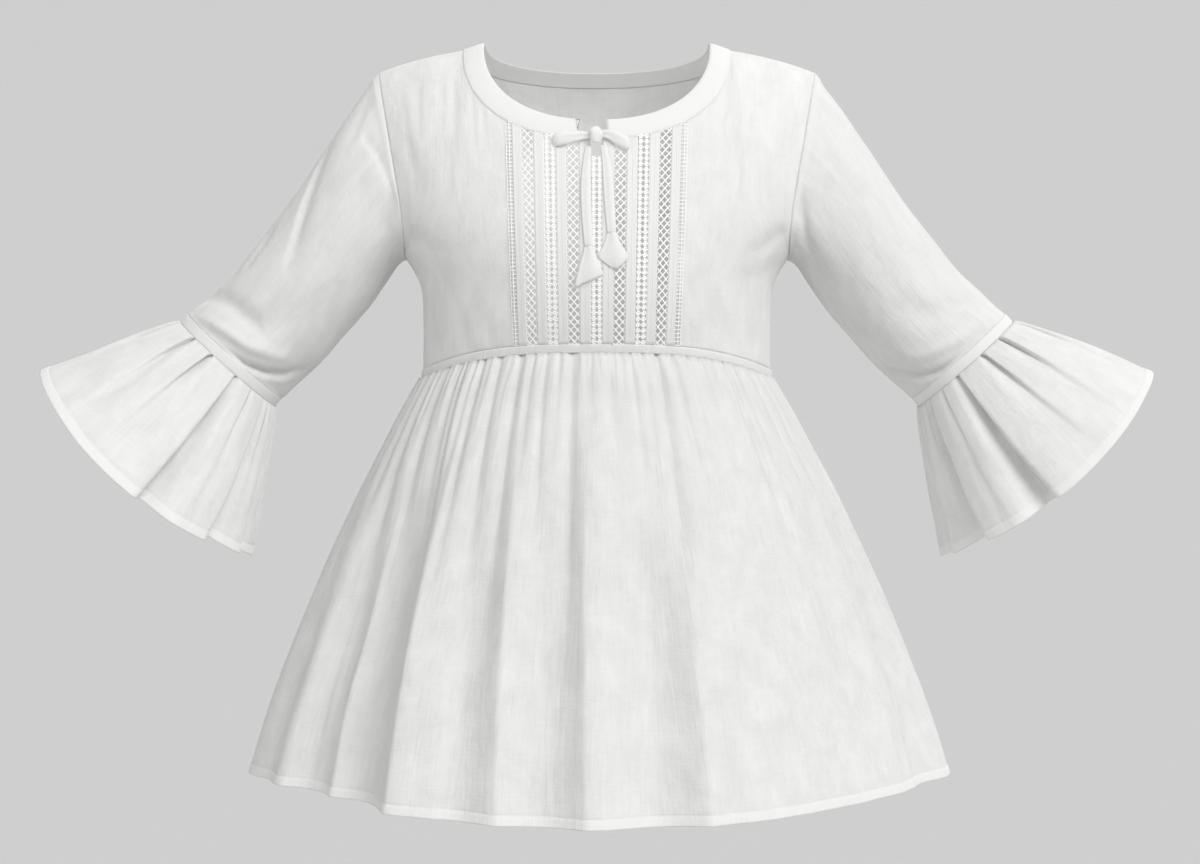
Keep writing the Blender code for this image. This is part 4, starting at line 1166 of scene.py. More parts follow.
def band_stitches(name, stations, across, proud, closed=False):
    """Stitches along a band, at shares across it."""
    height = proud * BAND_STITCH_SEAT
    lines = []
    for share in across:
        lines.append([low.lerp(up, share) + out * height for low, up, out in stations])
    stitches(name, lines, closed)


# ---- bodice ----
SIDE_PULL = 2.0


def patch(left, right, bottom, top):
    """Rows of (turn, z) between four edges: a side bends the rows less the farther in they lie."""
    rows = []
    last = len(bottom) - 1
    for row, share in enumerate(shares(len(left) - 1)):
        points = []
        for column in range(last + 1):
            s = column / last
            point = []
            for k in (0, 1):
                off_left = left[row][k] - mix(bottom[0][k], top[0][k], share)
                off_right = right[row][k] - mix(bottom[last][k], top[last][k], share)
                bent = off_left * (1 - s) ** SIDE_PULL + off_right * s ** SIDE_PULL
                point.append(mix(bottom[column][k], top[column][k], share) + bent)
            points.append(point)
        rows.append(points)
    return rows


def armhole_z(turn):
    """Height on the armhole at a turn from its top, in degrees."""
    middle = (SHOULDER_TIP_Z + ARMPIT_Z) / 2
    return middle + (SHOULDER_TIP_Z - ARMPIT_Z) / 2 * math.cos(math.radians(turn))


SIDE_SEAM_ROWS = 28
ARMHOLE_ROWS = 46
NECK_COLUMNS = 44
SHOULDER_COLUMNS = 34
SEAM_EASE = 0.0002


def side_heights():
    """Heights up the side seam and then up the armhole, from the waist to the shoulder tip."""
    bottom = WAIST_CENTRE_Z - WAIST_SIDE_DROP
    seam = [mix(bottom, ARMPIT_Z, share) for share in shares(SIDE_SEAM_ROWS)]
    return seam + [armhole_z(180.0 * (1 - share)) for share in shares(ARMHOLE_ROWS)[1:]]


def side_turn(z):
    """Turn of a panel's outer edge: its side seam, or its armhole above that."""
    seam = math.pi / 2 - SEAM_EASE
    return seam if z <= ARMPIT_Z else min(seam, turn_of(armhole_x(z), z))


def top_edge(first_angle, front):
    """(turn, z) along the neckline from an angle, then along the shoulder seam to its tip."""
    found = []
    for share in shares(NECK_COLUMNS)[:-1]:
        x, z = neck_place(mix(first_angle, math.pi / 2, share), front)
        found.append((turn_of(x, z), z))
    for share in shares(SHOULDER_COLUMNS):
        x = mix(NECK_HALF_WIDTH, SHOULDER_TIP_X, share)
        z = ridge_z(x)
        found.append((turn_of(x, z), z))
    return found


def waist_edge(first_turn, last_turn, count, front):
    turns = [mix(first_turn, last_turn, share) for share in shares(count)]
    return [(turn, waist_z(turn, front)) for turn in turns]


RIPPLE = 0.0011
RIPPLES_ACROSS = 34.0
RIPPLES_DOWN = 13.0


def bodice_relief(turn, z, front, edge):
    """How far the bodice's cloth stands off its smooth surface. edge is 0 at a seam."""
    x = torso_half_width(z) * math.sin(turn)
    depth = crease_depth(FRONT_CREASES if front else BACK_CREASES, x, z)
    place = Vector((x * RIPPLES_ACROSS, z * RIPPLES_DOWN, 3.0 if front else 9.0))
    return (noise.noise(place) * RIPPLE - depth) * edge


SIDE_FADE = 0.07
TOP_FADE = 0.05
WAIST_FADE = 0.03


def bodice_rows(rows, front, side=1, seamed_left=False):
    """Points of a bodice panel: the relief fades out at its seams."""
    found = []
    last_row = len(rows) - 1
    for number, row in enumerate(rows):
        last = len(row) - 1
        line = []
        for column, (turn, z) in enumerate(row):
            s = column / last
            edge = fade(1 - s, 0.0, SIDE_FADE) * fade(1 - number / last_row, 0.0, TOP_FADE)
            edge *= fade(number / last_row, 0.0, WAIST_FADE)
            if seamed_left:
                edge *= fade(s, 0.0, SIDE_FADE)
            relief = bodice_relief(side * turn, z, front, edge)
            line.append((turned_point(side * turn, z, front, relief), 0.0))
        found.append(line)
    return list(reversed(found))


def make_bodice_front(side, word):
    right = [(side_turn(z), z) for z in side_heights()]
    start_x, start_z = bib_top(GAUZE_EDGE)
    top = top_edge(neck_angle(start_x), True)
    low_z = bib_bottom_z(GAUZE_EDGE)
    left = []
    for share in shares(len(right) - 1):
        z = mix(low_z, start_z, share)
        left.append((turn_of(bib_edge_x(GAUZE_EDGE, z), z), z))
    bottom = waist_edge(left[0][0], right[0][0], len(top) - 1, True)
    right[-1] = top[-1]
    left[-1] = top[0]
    rows = bodice_rows(patch(left, right, bottom, top), True, side)
    name = f"gauze_front_{word}"
    obj, flat = cloth_panel(name, f"bodice_front_{word}", rows, body_axis, "smooth_gauze")
    0.80 * flat[0] * flat[1]


def make_bodice_back():
    half_top = top_edge(0.0, False)
    top = [(-turn, z) for turn, z in reversed(half_top[1:])] + half_top
    right = [(side_turn(z), z) for z in side_heights()]
    right[-1] = top[-1]
    left = [(-turn, z) for turn, z in right]
    bottom = waist_edge(left[0][0], right[0][0], len(top) - 1, False)
    rows = bodice_rows(patch(left, right, bottom, top), False, 1, seamed_left=True)
    obj, flat = cloth_panel("gauze_back", "bodice_back", rows, body_axis, "smooth_gauze")
    0.84 * flat[0] * flat[1]


# ---- bib ----
BIB_ROWS = 46
PLAIN_OVERLAP = 0.0005


def strip_ends(inner, outer):
    """Heights of a strip's bottom and top at its two edges."""
    return [(bib_bottom_z(edge), bib_top(edge)[1]) for edge in (inner, outer)]


def strip_place(inner, outer, across, share, side):
    """x and z on a strip at a share across it and a share of the way up."""
    (low_in, high_in), (low_out, high_out) = strip_ends(inner, outer)
    z = mix(mix(low_in, low_out, across), mix(high_in, high_out, across), share)
    return side * mix(bib_edge_x(inner, z), bib_edge_x(outer, z), across), z


# A plain strip's section: (share across, height), over the side that shows and back under it.
PLAIN_OUTER = (
    (0.0, 0.0002),
    (0.04, 0.0009),
    (0.12, 0.0012),
    (0.20, 0.0010),
    (0.40, 0.0010),
    (0.47, 0.0011),
    (0.50, 0.0008),
    (0.53, 0.0011),
    (0.60, 0.0010),
    (0.80, 0.0010),
    (0.88, 0.0012),
    (0.96, 0.0009),
    (1.0, 0.0002),
)
PLAIN_INNER = ((0.90, -0.0002), (0.50, -0.0002), (0.10, -0.0002))


def make_plain_strip(strip, inner, side, word):
    """A strip of gauze folded under at both edges, with a tuck down its middle."""
    stations = []
    for share in shares(BIB_ROWS):
        x_in, z_in = strip_place(inner, strip.outer_edge, 0.0, share, side)
        x_out, z_out = strip_place(inner, strip.outer_edge, 1.0, share, side)
        start = bodice_point(x_in - side * PLAIN_OVERLAP, z_in, True)
        end = bodice_point(x_out + side * PLAIN_OVERLAP, z_out, True)
        stations.append((start, end, bodice_out((x_in + x_out) / 2, (z_in + z_out) / 2)))
    name = f"{strip.name.replace('strip', 'tape')}_{word}"
    obj, flat = swept_band(name, f"{strip.name}_{word}", stations, PLAIN_OUTER, PLAIN_INNER)


def lattice_points(inner, outer, side, grid, raise_by, top_z):
    """Points of a lace grid of (across, drop from the top), kept between the strip's seams."""
    points = []
    for across, drop in grid:
        x, high = strip_place(inner, outer, across, 1.0, side)
        _, low = strip_place(inner, outer, across, 0.0, side)
        z = min(high, max(low, top_z - drop))
        x = side * mix(bib_edge_x(inner, z), bib_edge_x(outer, z), across)
        points.append(bodice_point(x, z, True, raise_by))
    return points


NET_COLUMNS = 4
NET_MARGIN = 0.05
NET_KNOT = 0.62
NET_SUNK = 0.0002


def strip_span(inner, outer):
    """The lowest and the highest point of a strip's ends."""
    ends = strip_ends(inner, outer)
    return min(ends)[0], max(top for _, top in ends)


def make_net_strip(strip, inner, side, word):
    """A strip of diamond net: cords that cross on the slant."""
    lace = bpy.context.scene.peplum_lace
    low, high = strip_span(inner, strip.outer_edge)
    step = lace.net_height / 2
    places = []
    for row in range(int((high - low) / step) + 2):
        places += [(row, column) for column in range(NET_COLUMNS + 1) if (row + column) % 2 == 0]
    grid = []
    for row, column in places:
        grid.append((mix(-NET_MARGIN, 1 + NET_MARGIN, column / NET_COLUMNS), row * step))
    points = lattice_points(inner, strip.outer_edge, side, grid, -NET_SUNK, high)
    bm = bmesh.new()
    found = {place: bm.verts.new(point) for place, point in zip(places, points)}
    for row, column in places:
        for beside in (-1, 1):
            other = found.get((row + 1, column + beside))
            if other and (other.co - found[row, column].co).length > step / 2:
                bm.edges.new((found[row, column], other))
    loose = [vert for vert in bm.verts if not vert.link_edges]
    bmesh.ops.delete(bm, geom=loose, context="VERTS")
    values = {"Cord": lace.net_cord / 2, "Knot": lace.net_cord * NET_KNOT}
    name = f"{strip.name.replace('strip', 'cords')}_{word}"
    grow_piece(name, bm, "net_thread", values, f"{strip.name}_{word}")


LEAF_SLANT = math.radians(50.0)
EDGING_PROUD = 0.0004
CROCHET_PROUD = 0.0002
FLOWER_PROUD = 0.0005


def crochet_mesh(inner, outer, side, flowers, pitch, raised_by, top_z):
    """Points and chains of a crochet strip. flowers lists the shares across where flowers lie."""
    low, high = strip_span(inner, outer)
    high = high if top_z is None else top_z
    rows = int((high - low) / pitch)
    pitch = (high - low) / rows
    across = [0.02] + list(flowers) + [0.98]
    bm = bmesh.new()
    outward = bm.verts.layers.float_vector.new("out")
    marked = bm.verts.layers.bool.new("flower")
    lines = []
    for row in range(rows):
        grid = [(share, (row + 0.5) * pitch) for share in across]
        line = []
        for number, point in enumerate(lattice_points(inner, outer, side, grid, raised_by, high)):
            vert = bm.verts.new(point)
            out = bodice_out(point.x, point.z)
            vert[outward] = out
            vert[marked] = 0 < number < len(across) - 1
            if vert[marked]:
                vert.co += out * FLOWER_PROUD
            line.append(vert)
        for first, second in zip(line, line[1:]):
            bm.edges.new((first, second))
        if lines:
            for upper, lower in zip(lines[-1], line):
                bm.edges.new((upper, lower))
        lines.append(line)
    return bm


def make_crochet(name, inner, outer, side, edging, node, top_z=None):
    """A crochet strip: two columns of flowers, or slanted pairs of leaves on the narrow edging."""
    lace = bpy.context.scene.peplum_lace
    values = {"Chain": lace.chain / 2, "Ring": lace.flower_ring, "Petal width": lace.petal_width}
    if edging:
        bm = crochet_mesh(inner, outer, side, (0.52,), lace.leaf_pitch, EDGING_PROUD, top_z)
        values.update({"Petals": 2, "Petal length": lace.leaf_length, "Slant": side * LEAF_SLANT})
    else:
        bm = crochet_mesh(inner, outer, side, (0.27, 0.73), lace.flower_pitch, CROCHET_PROUD, top_z)
        values.update({"Petals": 6, "Petal length": lace.petal_length, "Slant": 0.0})
    grow_piece(name, bm, "crochet_thread", values, node)


# ---- bands ----
NECKBAND_STATIONS = 60
NECKBAND_OVERLAP = 0.0012


def neckband_places():
    """(x, z, front) round the neck seam, from the notch's left side round the back to its right."""
    found = []
    for start_x, side in ((NOTCH_LEFT_X, -1), (NOTCH_RIGHT_X, 1)):
        first = neck_angle(start_x)
        half = []
        for share in shares(NECKBAND_STATIONS):
            x, z = neck_place(mix(first, math.pi / 2, share), True)
            half.append((side * x, z, True))
        for share in shares(NECKBAND_STATIONS)[1:]:
            x, z = neck_place(mix(math.pi / 2, 0.0, share), False)
            half.append((side * x, z, False))
        found.append(half)
    return found[0] + list(reversed(found[1][:-1]))


def neckband_stations():
    """The neckband's lower edge, upper edge and outward direction at each place."""
    edges = []
    for x, z, front in neckband_places():
        seam = bodice_point(x, z, front)
        rise = BAND_FRONT_RISE if front else BAND_BACK_RISE
        drop = FRONT_NECK_DROP if front else BACK_NECK_DROP
        lean = BAND_FRONT_LEAN if front else BAND_BACK_LEAN
        lift = mix(BAND_SHOULDER_RISE, rise, -z / drop)
        upper = Vector((x * BAND_INNER_SCALE, seam.y * lean, z + lift))
        lower = seam + (seam - upper).normalized() * NECKBAND_OVERLAP
        edges.append((lower, upper))
    edges[0][1].x -= NOTCH_SLANT
    stations = []
    last = len(edges) - 1
    for number, (lower, upper) in enumerate(edges):
        before = edges[max(number - 1, 0)][0]
        after = edges[min(number + 1, last)][0]
        out = (after - before).cross(upper - lower).normalized()
        if out.dot(lower - body_axis(lower)) < 0:
            out = -out
        stations.append((lower, upper, out))
    return stations


def make_neckband():
    sizes = bpy.context.scene.peplum_sewing
    stations = neckband_stations()
    outer, inner = band_profile(sizes.band_proud, sizes.band_thickness, roundness=0.10)
    obj, flat = swept_band("neck_binding", "neckband", stations, outer, inner)
    band_stitches("neck_binding_stitches", stations, (0.10,), sizes.band_proud)


WAIST_COLUMNS = 640
WAIST_OVERLAP = 0.0006
WAIST_TICK = 0.0007
WAIST_TICK_PLACES = 42.0
WAIST_UPPER_PROUD = 0.0006
WAIST_LOWER_PROUD = 0.0004
WAIST_FACING = 1.3


def make_waist_band():
    sizes = bpy.context.scene.peplum_sewing
    stations = []
    for column in range(WAIST_COLUMNS):
        turn = math.tau * column / WAIST_COLUMNS
        front = math.cos(turn) > 0
        high = waist_z(turn, front) + WAIST_OVERLAP
        low = waist_z(turn, front) - WAIST_BAND_HEIGHT - WAIST_OVERLAP
        place = Vector((math.cos(turn), math.sin(turn), 0.0)) * WAIST_TICK_PLACES
        tick = noise.noise(place) * WAIST_TICK
        upper = turned_point(turn, high, front, WAIST_UPPER_PROUD + tick * 0.4)
        lower = turned_point(turn, low, front, WAIST_LOWER_PROUD + tick * 0.6)
        out = Vector((lower.x, lower.y * WAIST_FACING, 0.0)).normalized()
        stations.append((lower, upper, out))
    outer, inner = band_profile(sizes.piping_proud, sizes.band_thickness, roundness=0.12)
    obj, flat = swept_band("waist_piping", "waist_band", stations, outer, inner, closed=True)
    band_stitches("waist_piping_stitches", stations, (0.16, 0.84), sizes.piping_proud, closed=True)


# ---- skirt ----
SKIRT_COLUMNS = 340
SKIRT_ROWS = 70
HEM_ROWS = 10
SEAT_SHARE = 0.12
TICKS = 150
TICK_DEPTH = 0.0008
TICK_REACH = 0.065
TICK_JITTER = 5.0
HEM_PROUD = 0.0005
HEM_GROOVE = 0.0006
HEM_GROOVE_WIDTH = 0.0011
STITCH_LIFT = 0.0003
SKIRT_EASE = 0.0008
GATHER_FREE_SHARE = 0.35
GATHER_SPREAD = 0.8
GATHER_EDGE = 1.5
CRUMPLE = 0.0024
CRUMPLES_ACROSS = 13.0
CRUMPLES_DOWN = 4.5
JITTERS_ACROSS = 16.0
GATHER_SWELL_REACH = 0.16
GATHER_SWELL = 0.0016
FOLD_CREST = 1.35
FOLD_SOFTNESS = 1.2


def gather_depth(turn, share, gathers):
    """How far the gathers draw the skirt in at a turn, in degrees, and a share of the way down."""
    depth = 0.0
    for gather in gathers:
        if share < gather.reach:
            down = share / gather.reach
            middle = gather.turn + gather.drift * down
            off = (turn - middle) / (gather.half_width * (1 + GATHER_SPREAD * down))
            if abs(off) < 3.0:
                left = 1 - fade(share, gather.reach * GATHER_FREE_SHARE, gather.reach)
                depth += gather.depth * left * math.exp(-abs(off) ** GATHER_EDGE)
    return depth


def fold_depth(turn, share, folds):
    """How far the broad folds draw the skirt in: each has a soft left and a crest on its right."""
    depth = 0.0
    for fold in folds:
        off = (turn - mix(fold.top_turn, fold.hem_turn, share)) / fold.half_width
        if -3.0 < off < FOLD_CREST:
            grown = fade(share, fold.begins, fold.begins + FOLD_FADE)
            rise = math.exp(-off * off) if off < 0 else (1 - (off / FOLD_CREST) ** 2) ** FOLD_SOFTNESS
            depth += fold.depth * grown * rise
    return depth


def hem_relief(distance, band):
    """Height and layers of a hem band at a distance from the hem's edge."""
    doubled = 1 - fade(distance, band * 0.96, band * 1.08)
    groove = math.exp(-(((distance - band) / HEM_GROOVE_WIDTH) ** 2))
    return HEM_PROUD * doubled - HEM_GROOVE * groove, doubled


def skirt_rows(front, hem_band):
    """Points of a skirt panel, from its gathered top to its hem."""
    folds = FRONT_FOLDS if front else BACK_FOLDS
    gathers = FRONT_GATHERS if front else BACK_GATHERS
    top_side_z = SKIRT[0].side_z
    hem_side_z = SKIRT[-1].side_z
    hem_drop = FRONT_HEM_DROP if front else BACK_HEM_DROP
    length = top_side_z - hem_side_z + hem_drop
    top_depth = skirt_front(top_side_z) if front else skirt_back(top_side_z)
    rows = []
    for share in shares_to_hem(SKIRT_ROWS, hem_band / length, HEM_ROWS):
        side_z = mix(top_side_z, hem_side_z, share)
        depth = skirt_front(side_z) if front else skirt_back(side_z)
        width = skirt_half_width(side_z)
        square = mix(CHEST_SQUARENESS, 1.0, share)
        edge = math.pi / 2 - SEAM_EASE
        row = []
        for column in shares(SKIRT_COLUMNS):
            turn = mix(-edge, edge, column)
            degrees = math.degrees(turn)
            hem_z = hem_side_z - hem_drop * math.cos(turn) ** 2
            seam_z = waist_z(turn, front) - WAIST_BAND_HEIGHT
            sewn = torso_front(seam_z) if front else torso_back(seam_z)
            seated = depth + (sewn - top_depth) * (1 - fade(share, 0.0, SEAT_SHARE))
            z = mix(seam_z, hem_z, share)
            raise_by, doubled = hem_relief((1 - share) * length, hem_band)
            jitter = TICK_JITTER * noise.noise(Vector((column * JITTERS_ACROSS, 0.0, 4.0)))
            ticks = math.sin(TICKS * math.pi * column + jitter)
            swell = ticks * TICK_DEPTH * (1 - fade(share, 0.0, TICK_REACH))
            swell -= gather_depth(degrees, share, gathers)
            swell -= fold_depth(degrees, share, folds)
            place = Vector((column * CRUMPLES_ACROSS, share * CRUMPLES_DOWN, 2.0 if front else 7.0))
            swell += noise.noise(place) * CRUMPLE * fade(share, 0.05, 0.4)
            top_swell = GATHER_SWELL * (1 - fade(share, 0.02, GATHER_SWELL_REACH))
            swell = (swell + SKIRT_EASE + top_swell) * fade(math.cos(turn), 0.0, SIDE_TAPER) + raise_by
            x = (width + swell) * math.sin(turn) + HEM_SWAY * share
            y = (seated + swell) * math.cos(turn) ** square
            row.append((Vector((x, -y if front else y, z)), doubled))
        rows.append(row)
    return rows


def make_skirt_panel(front, hem_band, stitch_lines):
    word = "front" if front else "back"
    rows = skirt_rows(front, hem_band)
    obj, flat = cloth_panel(f"gauze_skirt_{word}", f"skirt_{word}", rows, body_axis)
    0.80 * flat[0] * flat[1]
    sewn = hem_stitch_row(rows, hem_band)
    stitch_lines.append([point + outward_from_axis(point) * STITCH_LIFT for point, _ in sewn])


def outward_from_axis(point):
    return Vector((point.x, point.y, 0.0)).normalized()


def hem_stitch_row(rows, hem_band):
    """The row of a panel that lies a hem band's width above its edge."""
    lengths = middle_lengths(rows)
    wanted = lengths[-1] - hem_band
    number = min(range(len(rows)), key=lambda i: abs(lengths[i] - wanted))
    return rows[number]


# ---- sleeves, cuff bands and flounces ----
LAST_RING = 8.0
SLEEVE_COLUMNS = 132
SLEEVE_ROWS = 104
SEAM_ROLL = 0.0007
SEAM_ROLL_HEAD = 0.0014
SEAM_ROLL_RING = 0.10
SLEEVE_HEAD_TURN = 130.0
SEAM_DOUBLED_RINGS = (0.14, 0.40)
SLEEVE_CRUMPLE = 0.0016
SLEEVE_CRUMPLES_ROUND = 1.6
SLEEVE_CRUMPLES_ALONG = 0.8
CLOSE_RINGS = 0.30
CLOSE_ROWS = 12
ARMHOLE_STITCH_RING = 0.19
ARMHOLE_STITCH_ROW = 8
ARMHOLE_STITCH_LIFT = 0.0002
FLOUNCE_CRUMPLE = 0.0030
FLOUNCE_CRUMPLES_ROUND = 2.4
FLOUNCE_CRUMPLES_ALONG = 2.6
FLOUNCE_COLUMNS = 350
FLOUNCE_ROWS = 58
CUFF_COLUMNS = 96


def sleeve_axis(side):
    """The middle of the cuff band, its half width across and its direction towards the hand."""
    outer = Vector((side * CUFF_OUTER[0], 0.0, CUFF_OUTER[1]))
    inner = Vector((side * CUFF_INNER[0], 0.0, CUFF_INNER[1]))
    across = (outer - inner) / 2
    along = Vector((-across.z, 0.0, across.x)) * -side
    return (outer + inner) / 2, across, along.normalized()


def ring_point(centre, across, depth, turn):
    """A point of a ring at a turn from its top, in degrees, down its front and up its back."""
    turn = math.radians(turn)
    return centre + across * math.cos(turn) + Vector((0.0, -depth * math.sin(turn), 0.0))


def sleeve_ring(ring, side):
    """The middle, the half width across and the half depth of the sleeve at a ring."""
    outer_x, outer_z, inner_x, inner_z, depth = (curve(ring) for curve in sleeve_curves)
    outer = Vector((side * outer_x, 0.0, outer_z))
    inner = Vector((side * inner_x, 0.0, inner_z))
    return (outer + inner) / 2, (outer - inner) / 2, depth


def sleeve_row_places():
    """Places of the sleeve's rows in rings, closer together at the armhole."""
    close = [CLOSE_RINGS * share for share in shares(CLOSE_ROWS)]
    return close + [mix(CLOSE_RINGS, LAST_RING, share) for share in shares(SLEEVE_ROWS)[1:]]


def sleeve_rows(side):
    """Points of a sleeve, from its armhole seam to its cuff band."""
    own = LEFT_SLEEVE_CREASES if side < 0 else RIGHT_SLEEVE_CREASES
    creases = scaled(own + BACK_SLEEVE_CREASES, SLEEVE_DEGREE, SLEEVE_RING)
    first = sleeve_ring(0, side)
    rows = []
    for ring in sleeve_row_places():
        centre, across, depth = sleeve_ring(ring, side)
        keep = max(0.0, 1 - ring / ARMHOLE_BLEND_RINGS) ** ARMHOLE_BLEND_POWER
        edge = fade(ring, 0.0, 0.25) * fade(LAST_RING - ring, 0.0, 0.25)
        row = []
        for column in range(SLEEVE_COLUMNS):
            turn = 360.0 * column / SLEEVE_COLUMNS
            front = turn <= 180.0
            from_top = turn if front else 360.0 - turn
            point = ring_point(centre, across, depth, turn)
            z = armhole_z(from_top)
            sewn = bodice_point(side * armhole_x(z), z, front)
            point += (sewn - ring_point(*first, turn)) * keep
            signed = turn if front else turn - 360.0
            drawn = crease_depth(creases, signed * SLEEVE_DEGREE, ring * SLEEVE_RING) * edge
            head = fade(SLEEVE_HEAD_TURN - from_top, 0.0, 110.0)
            rolled = (ring - mix(SEAM_ROLL_RING, 0.20, head)) / mix(0.08, 0.17, head)
            roll = mix(SEAM_ROLL, SEAM_ROLL_HEAD, head) * math.exp(-rolled * rolled)
            angle = math.radians(turn)
            wide = SLEEVE_CRUMPLES_ROUND
            place = Vector((math.cos(angle) * wide, math.sin(angle) * wide, ring * SLEEVE_CRUMPLES_ALONG))
            crumple = noise.noise(place + Vector((0.0, 0.0, 20.0 * side))) * SLEEVE_CRUMPLE * edge
            out = (point - centre).normalized()
            doubled = 0.6 * (1 - fade(ring, *SEAM_DOUBLED_RINGS))
            row.append((point + out * (crumple + roll - drawn), doubled))
        rows.append(row)
    return rows


def make_sleeve(side, word):
    rows = sleeve_rows(side)
    start = sleeve_ring(2, side)[0]
    axis = nearest_on(start, (sleeve_ring(7, side)[0] - start).normalized())
    name = f"gauze_sleeve_{word}"
    obj, flat = cloth_panel(name, f"sleeve_{word}", rows, axis, "sleeve_gauze", closed=True)
    0.92 * flat[0] * flat[1]
    centre = sleeve_ring(ARMHOLE_STITCH_RING, side)[0]
    line = []
    for point, _ in rows[ARMHOLE_STITCH_ROW]:
        line.append(point + (point - centre).normalized() * ARMHOLE_STITCH_LIFT)
    stitches(f"armhole_stitches_{word}", [line], closed=True)


def make_cuff_band(side, word):
    sizes = bpy.context.scene.peplum_sewing
    centre, across, along = sleeve_axis(side)
    half = CUFF_BAND_WIDTH / 2 + 0.0006
    stations = []
    for column in range(CUFF_COLUMNS):
        turn = 360.0 * column / CUFF_COLUMNS
        point = ring_point(centre, across, CUFF_DEPTH, turn)
        stations.append((point + along * half, point - along * half, (point - centre).normalized()))
    proud = sizes.piping_proud * 0.6
    outer, inner = band_profile(proud, sizes.band_thickness, roundness=0.10)
    name = f"cuff_piping_{word}"
    obj, flat = swept_band(name, f"cuff_band_{word}", stations, outer, inner, closed=True)
    band_stitches(f"cuff_stitches_{word}", stations, (0.14, 0.86), proud, closed=True)


def pleat_fold(turn, share):
    """How far the pleats draw a flounce in, and under their flaps, at a turn and a share of the way."""
    depth = 0.0
    under = 0.0
    for pleat in PLEATS:
        middle = mix(pleat.band_turn, pleat.hem_turn, share)
        off = (turn - middle + 180.0) % 360.0 - 180.0
        if off < 0:
            off /= mix(PLEAT_EDGE_AT_BAND, PLEAT_EDGE_AT_HEM, share)
        else:
            off /= mix(pleat.open_band, pleat.open_hem, share)
        if abs(off) < 3.0:
            upper = mix(pleat.at_band, pleat.midway, fade(share, 0.0, 0.5))
            deep = upper if share < 0.5 else mix(pleat.midway, pleat.at_hem, fade(share, 0.5, 1.0))
            drawn = math.exp(-off * off)
            depth += deep * fade(share, -0.02, 0.03) * drawn
            at_band = PLEAT_UNDER * fade(share, 0.0, 0.04)
            under += mix(at_band, deep * PLEAT_UNDER_FOR_DEPTH, fade(share, 0.1, 0.55)) * drawn
    return depth, under


def flounce_rows(side, hem_band):
    """Points of a flounce, from its cuff band to its hem, and its axis."""
    start, across, along = sleeve_axis(side)
    start = start + along * (CUFF_BAND_WIDTH / 2)
    hem_outer = Vector((side * FLOUNCE_HEM_OUTER[0], 0.0, FLOUNCE_HEM_OUTER[1]))
    hem_inner = Vector((side * FLOUNCE_HEM_INNER[0], 0.0, FLOUNCE_HEM_INNER[1]))
    hem_centre = (hem_outer + hem_inner) / 2
    hem_across = (hem_outer - hem_inner) / 2
    reach = (hem_centre - start).normalized()
    length = (hem_centre - start).length
    rows = []
    for share in shares_to_hem(FLOUNCE_ROWS, hem_band / length, HEM_ROWS):
        flare = share ** FLOUNCE_BELL
        centre = start.lerp(hem_centre, share)
        ring_across = across.lerp(hem_across, flare)
        depth = mix(CUFF_DEPTH, FLOUNCE_HEM_DEPTH, flare)
        row = []
        for column in range(FLOUNCE_COLUMNS):
            turn = 360.0 * column / FLOUNCE_COLUMNS
            drawn, under = pleat_fold(turn, share)
            swell = mix(RIDGE_AT_BAND, RIDGE_AT_HEM, share ** PLEAT_GROWTH) - drawn
            turn -= under
            angle = math.radians(turn)
            wide = FLOUNCE_CRUMPLES_ROUND
            down = share * FLOUNCE_CRUMPLES_ALONG + 5.0 * side
            place = Vector((math.cos(angle) * wide, math.sin(angle) * wide, down))
            swell += noise.noise(place) * FLOUNCE_CRUMPLE * fade(share, 0.1, 0.7)
            raise_by, doubled = hem_relief((1 - share) * length, hem_band)
            point = ring_point(centre, ring_across, depth, turn)
            out = (point - centre).normalized()
            sag = FLOUNCE_SAG * math.sin(angle) ** 2 * share ** SAG_GROWTH
            row.append((point + out * (swell + raise_by) + reach * sag, doubled))
        rows.append(row)
    return rows, nearest_on(start, reach)


def make_flounce(side, word, hem_band):
    rows, axis = flounce_rows(side, hem_band)
    name = f"gauze_flounce_{word}"
    obj, flat = cloth_panel(name, f"flounce_{word}", rows, axis, "sleeve_gauze", closed=True)
    0.72 * flat[0] * flat[1]
    sewn = hem_stitch_row(rows, hem_band)
    line = [point + (point - axis(point)).normalized() * STITCH_LIFT for point, _ in sewn]
    stitches(f"flounce_stitches_{word}", [line], closed=True)


# ---- tie ----
TIE_SIDES = 20
TAIL_ROWS = 40
TIE_CORNER = 0.62
TIE_GIRTH = 0.020
TIE_LAYERS = 0.8
KNOT_ROWS = 26
KNOT_SIDES = 28
KNOT_WRAP = 0.07
KNOT_ROUNDNESS = 0.7
END_FOLD = 0.0012
TAIL_FOLD = 0.0008


def tie_loft(name, node, rings):
    """A closed solid of the tie's cloth through rings of points."""
    run = run_lengths([ring[0] for ring in rings])
    return tube(name, node, rings, "tie_gauze", TIE_GIRTH, run, TIE_LAYERS)


def flat_section(width, thickness, ridge):
    """(across, towards the viewer) round a flattened length of cloth with a soft fold in front."""
    found = []
    for corner in range(TIE_SIDES):
        turn = math.tau * corner / TIE_SIDES
        across = width / 2 * math.copysign(abs(math.cos(turn)) ** TIE_CORNER, math.cos(turn))
        depth = thickness / 2 * math.copysign(abs(math.sin(turn)) ** TIE_CORNER, math.sin(turn))
        if depth > 0:
            depth += ridge * math.exp(-((across / (0.2 * width) - 0.5) ** 2))
            depth -= ridge * 0.7 * math.exp(-((across / (0.2 * width) + 1.0) ** 2))
        found.append((across, depth))
    return found


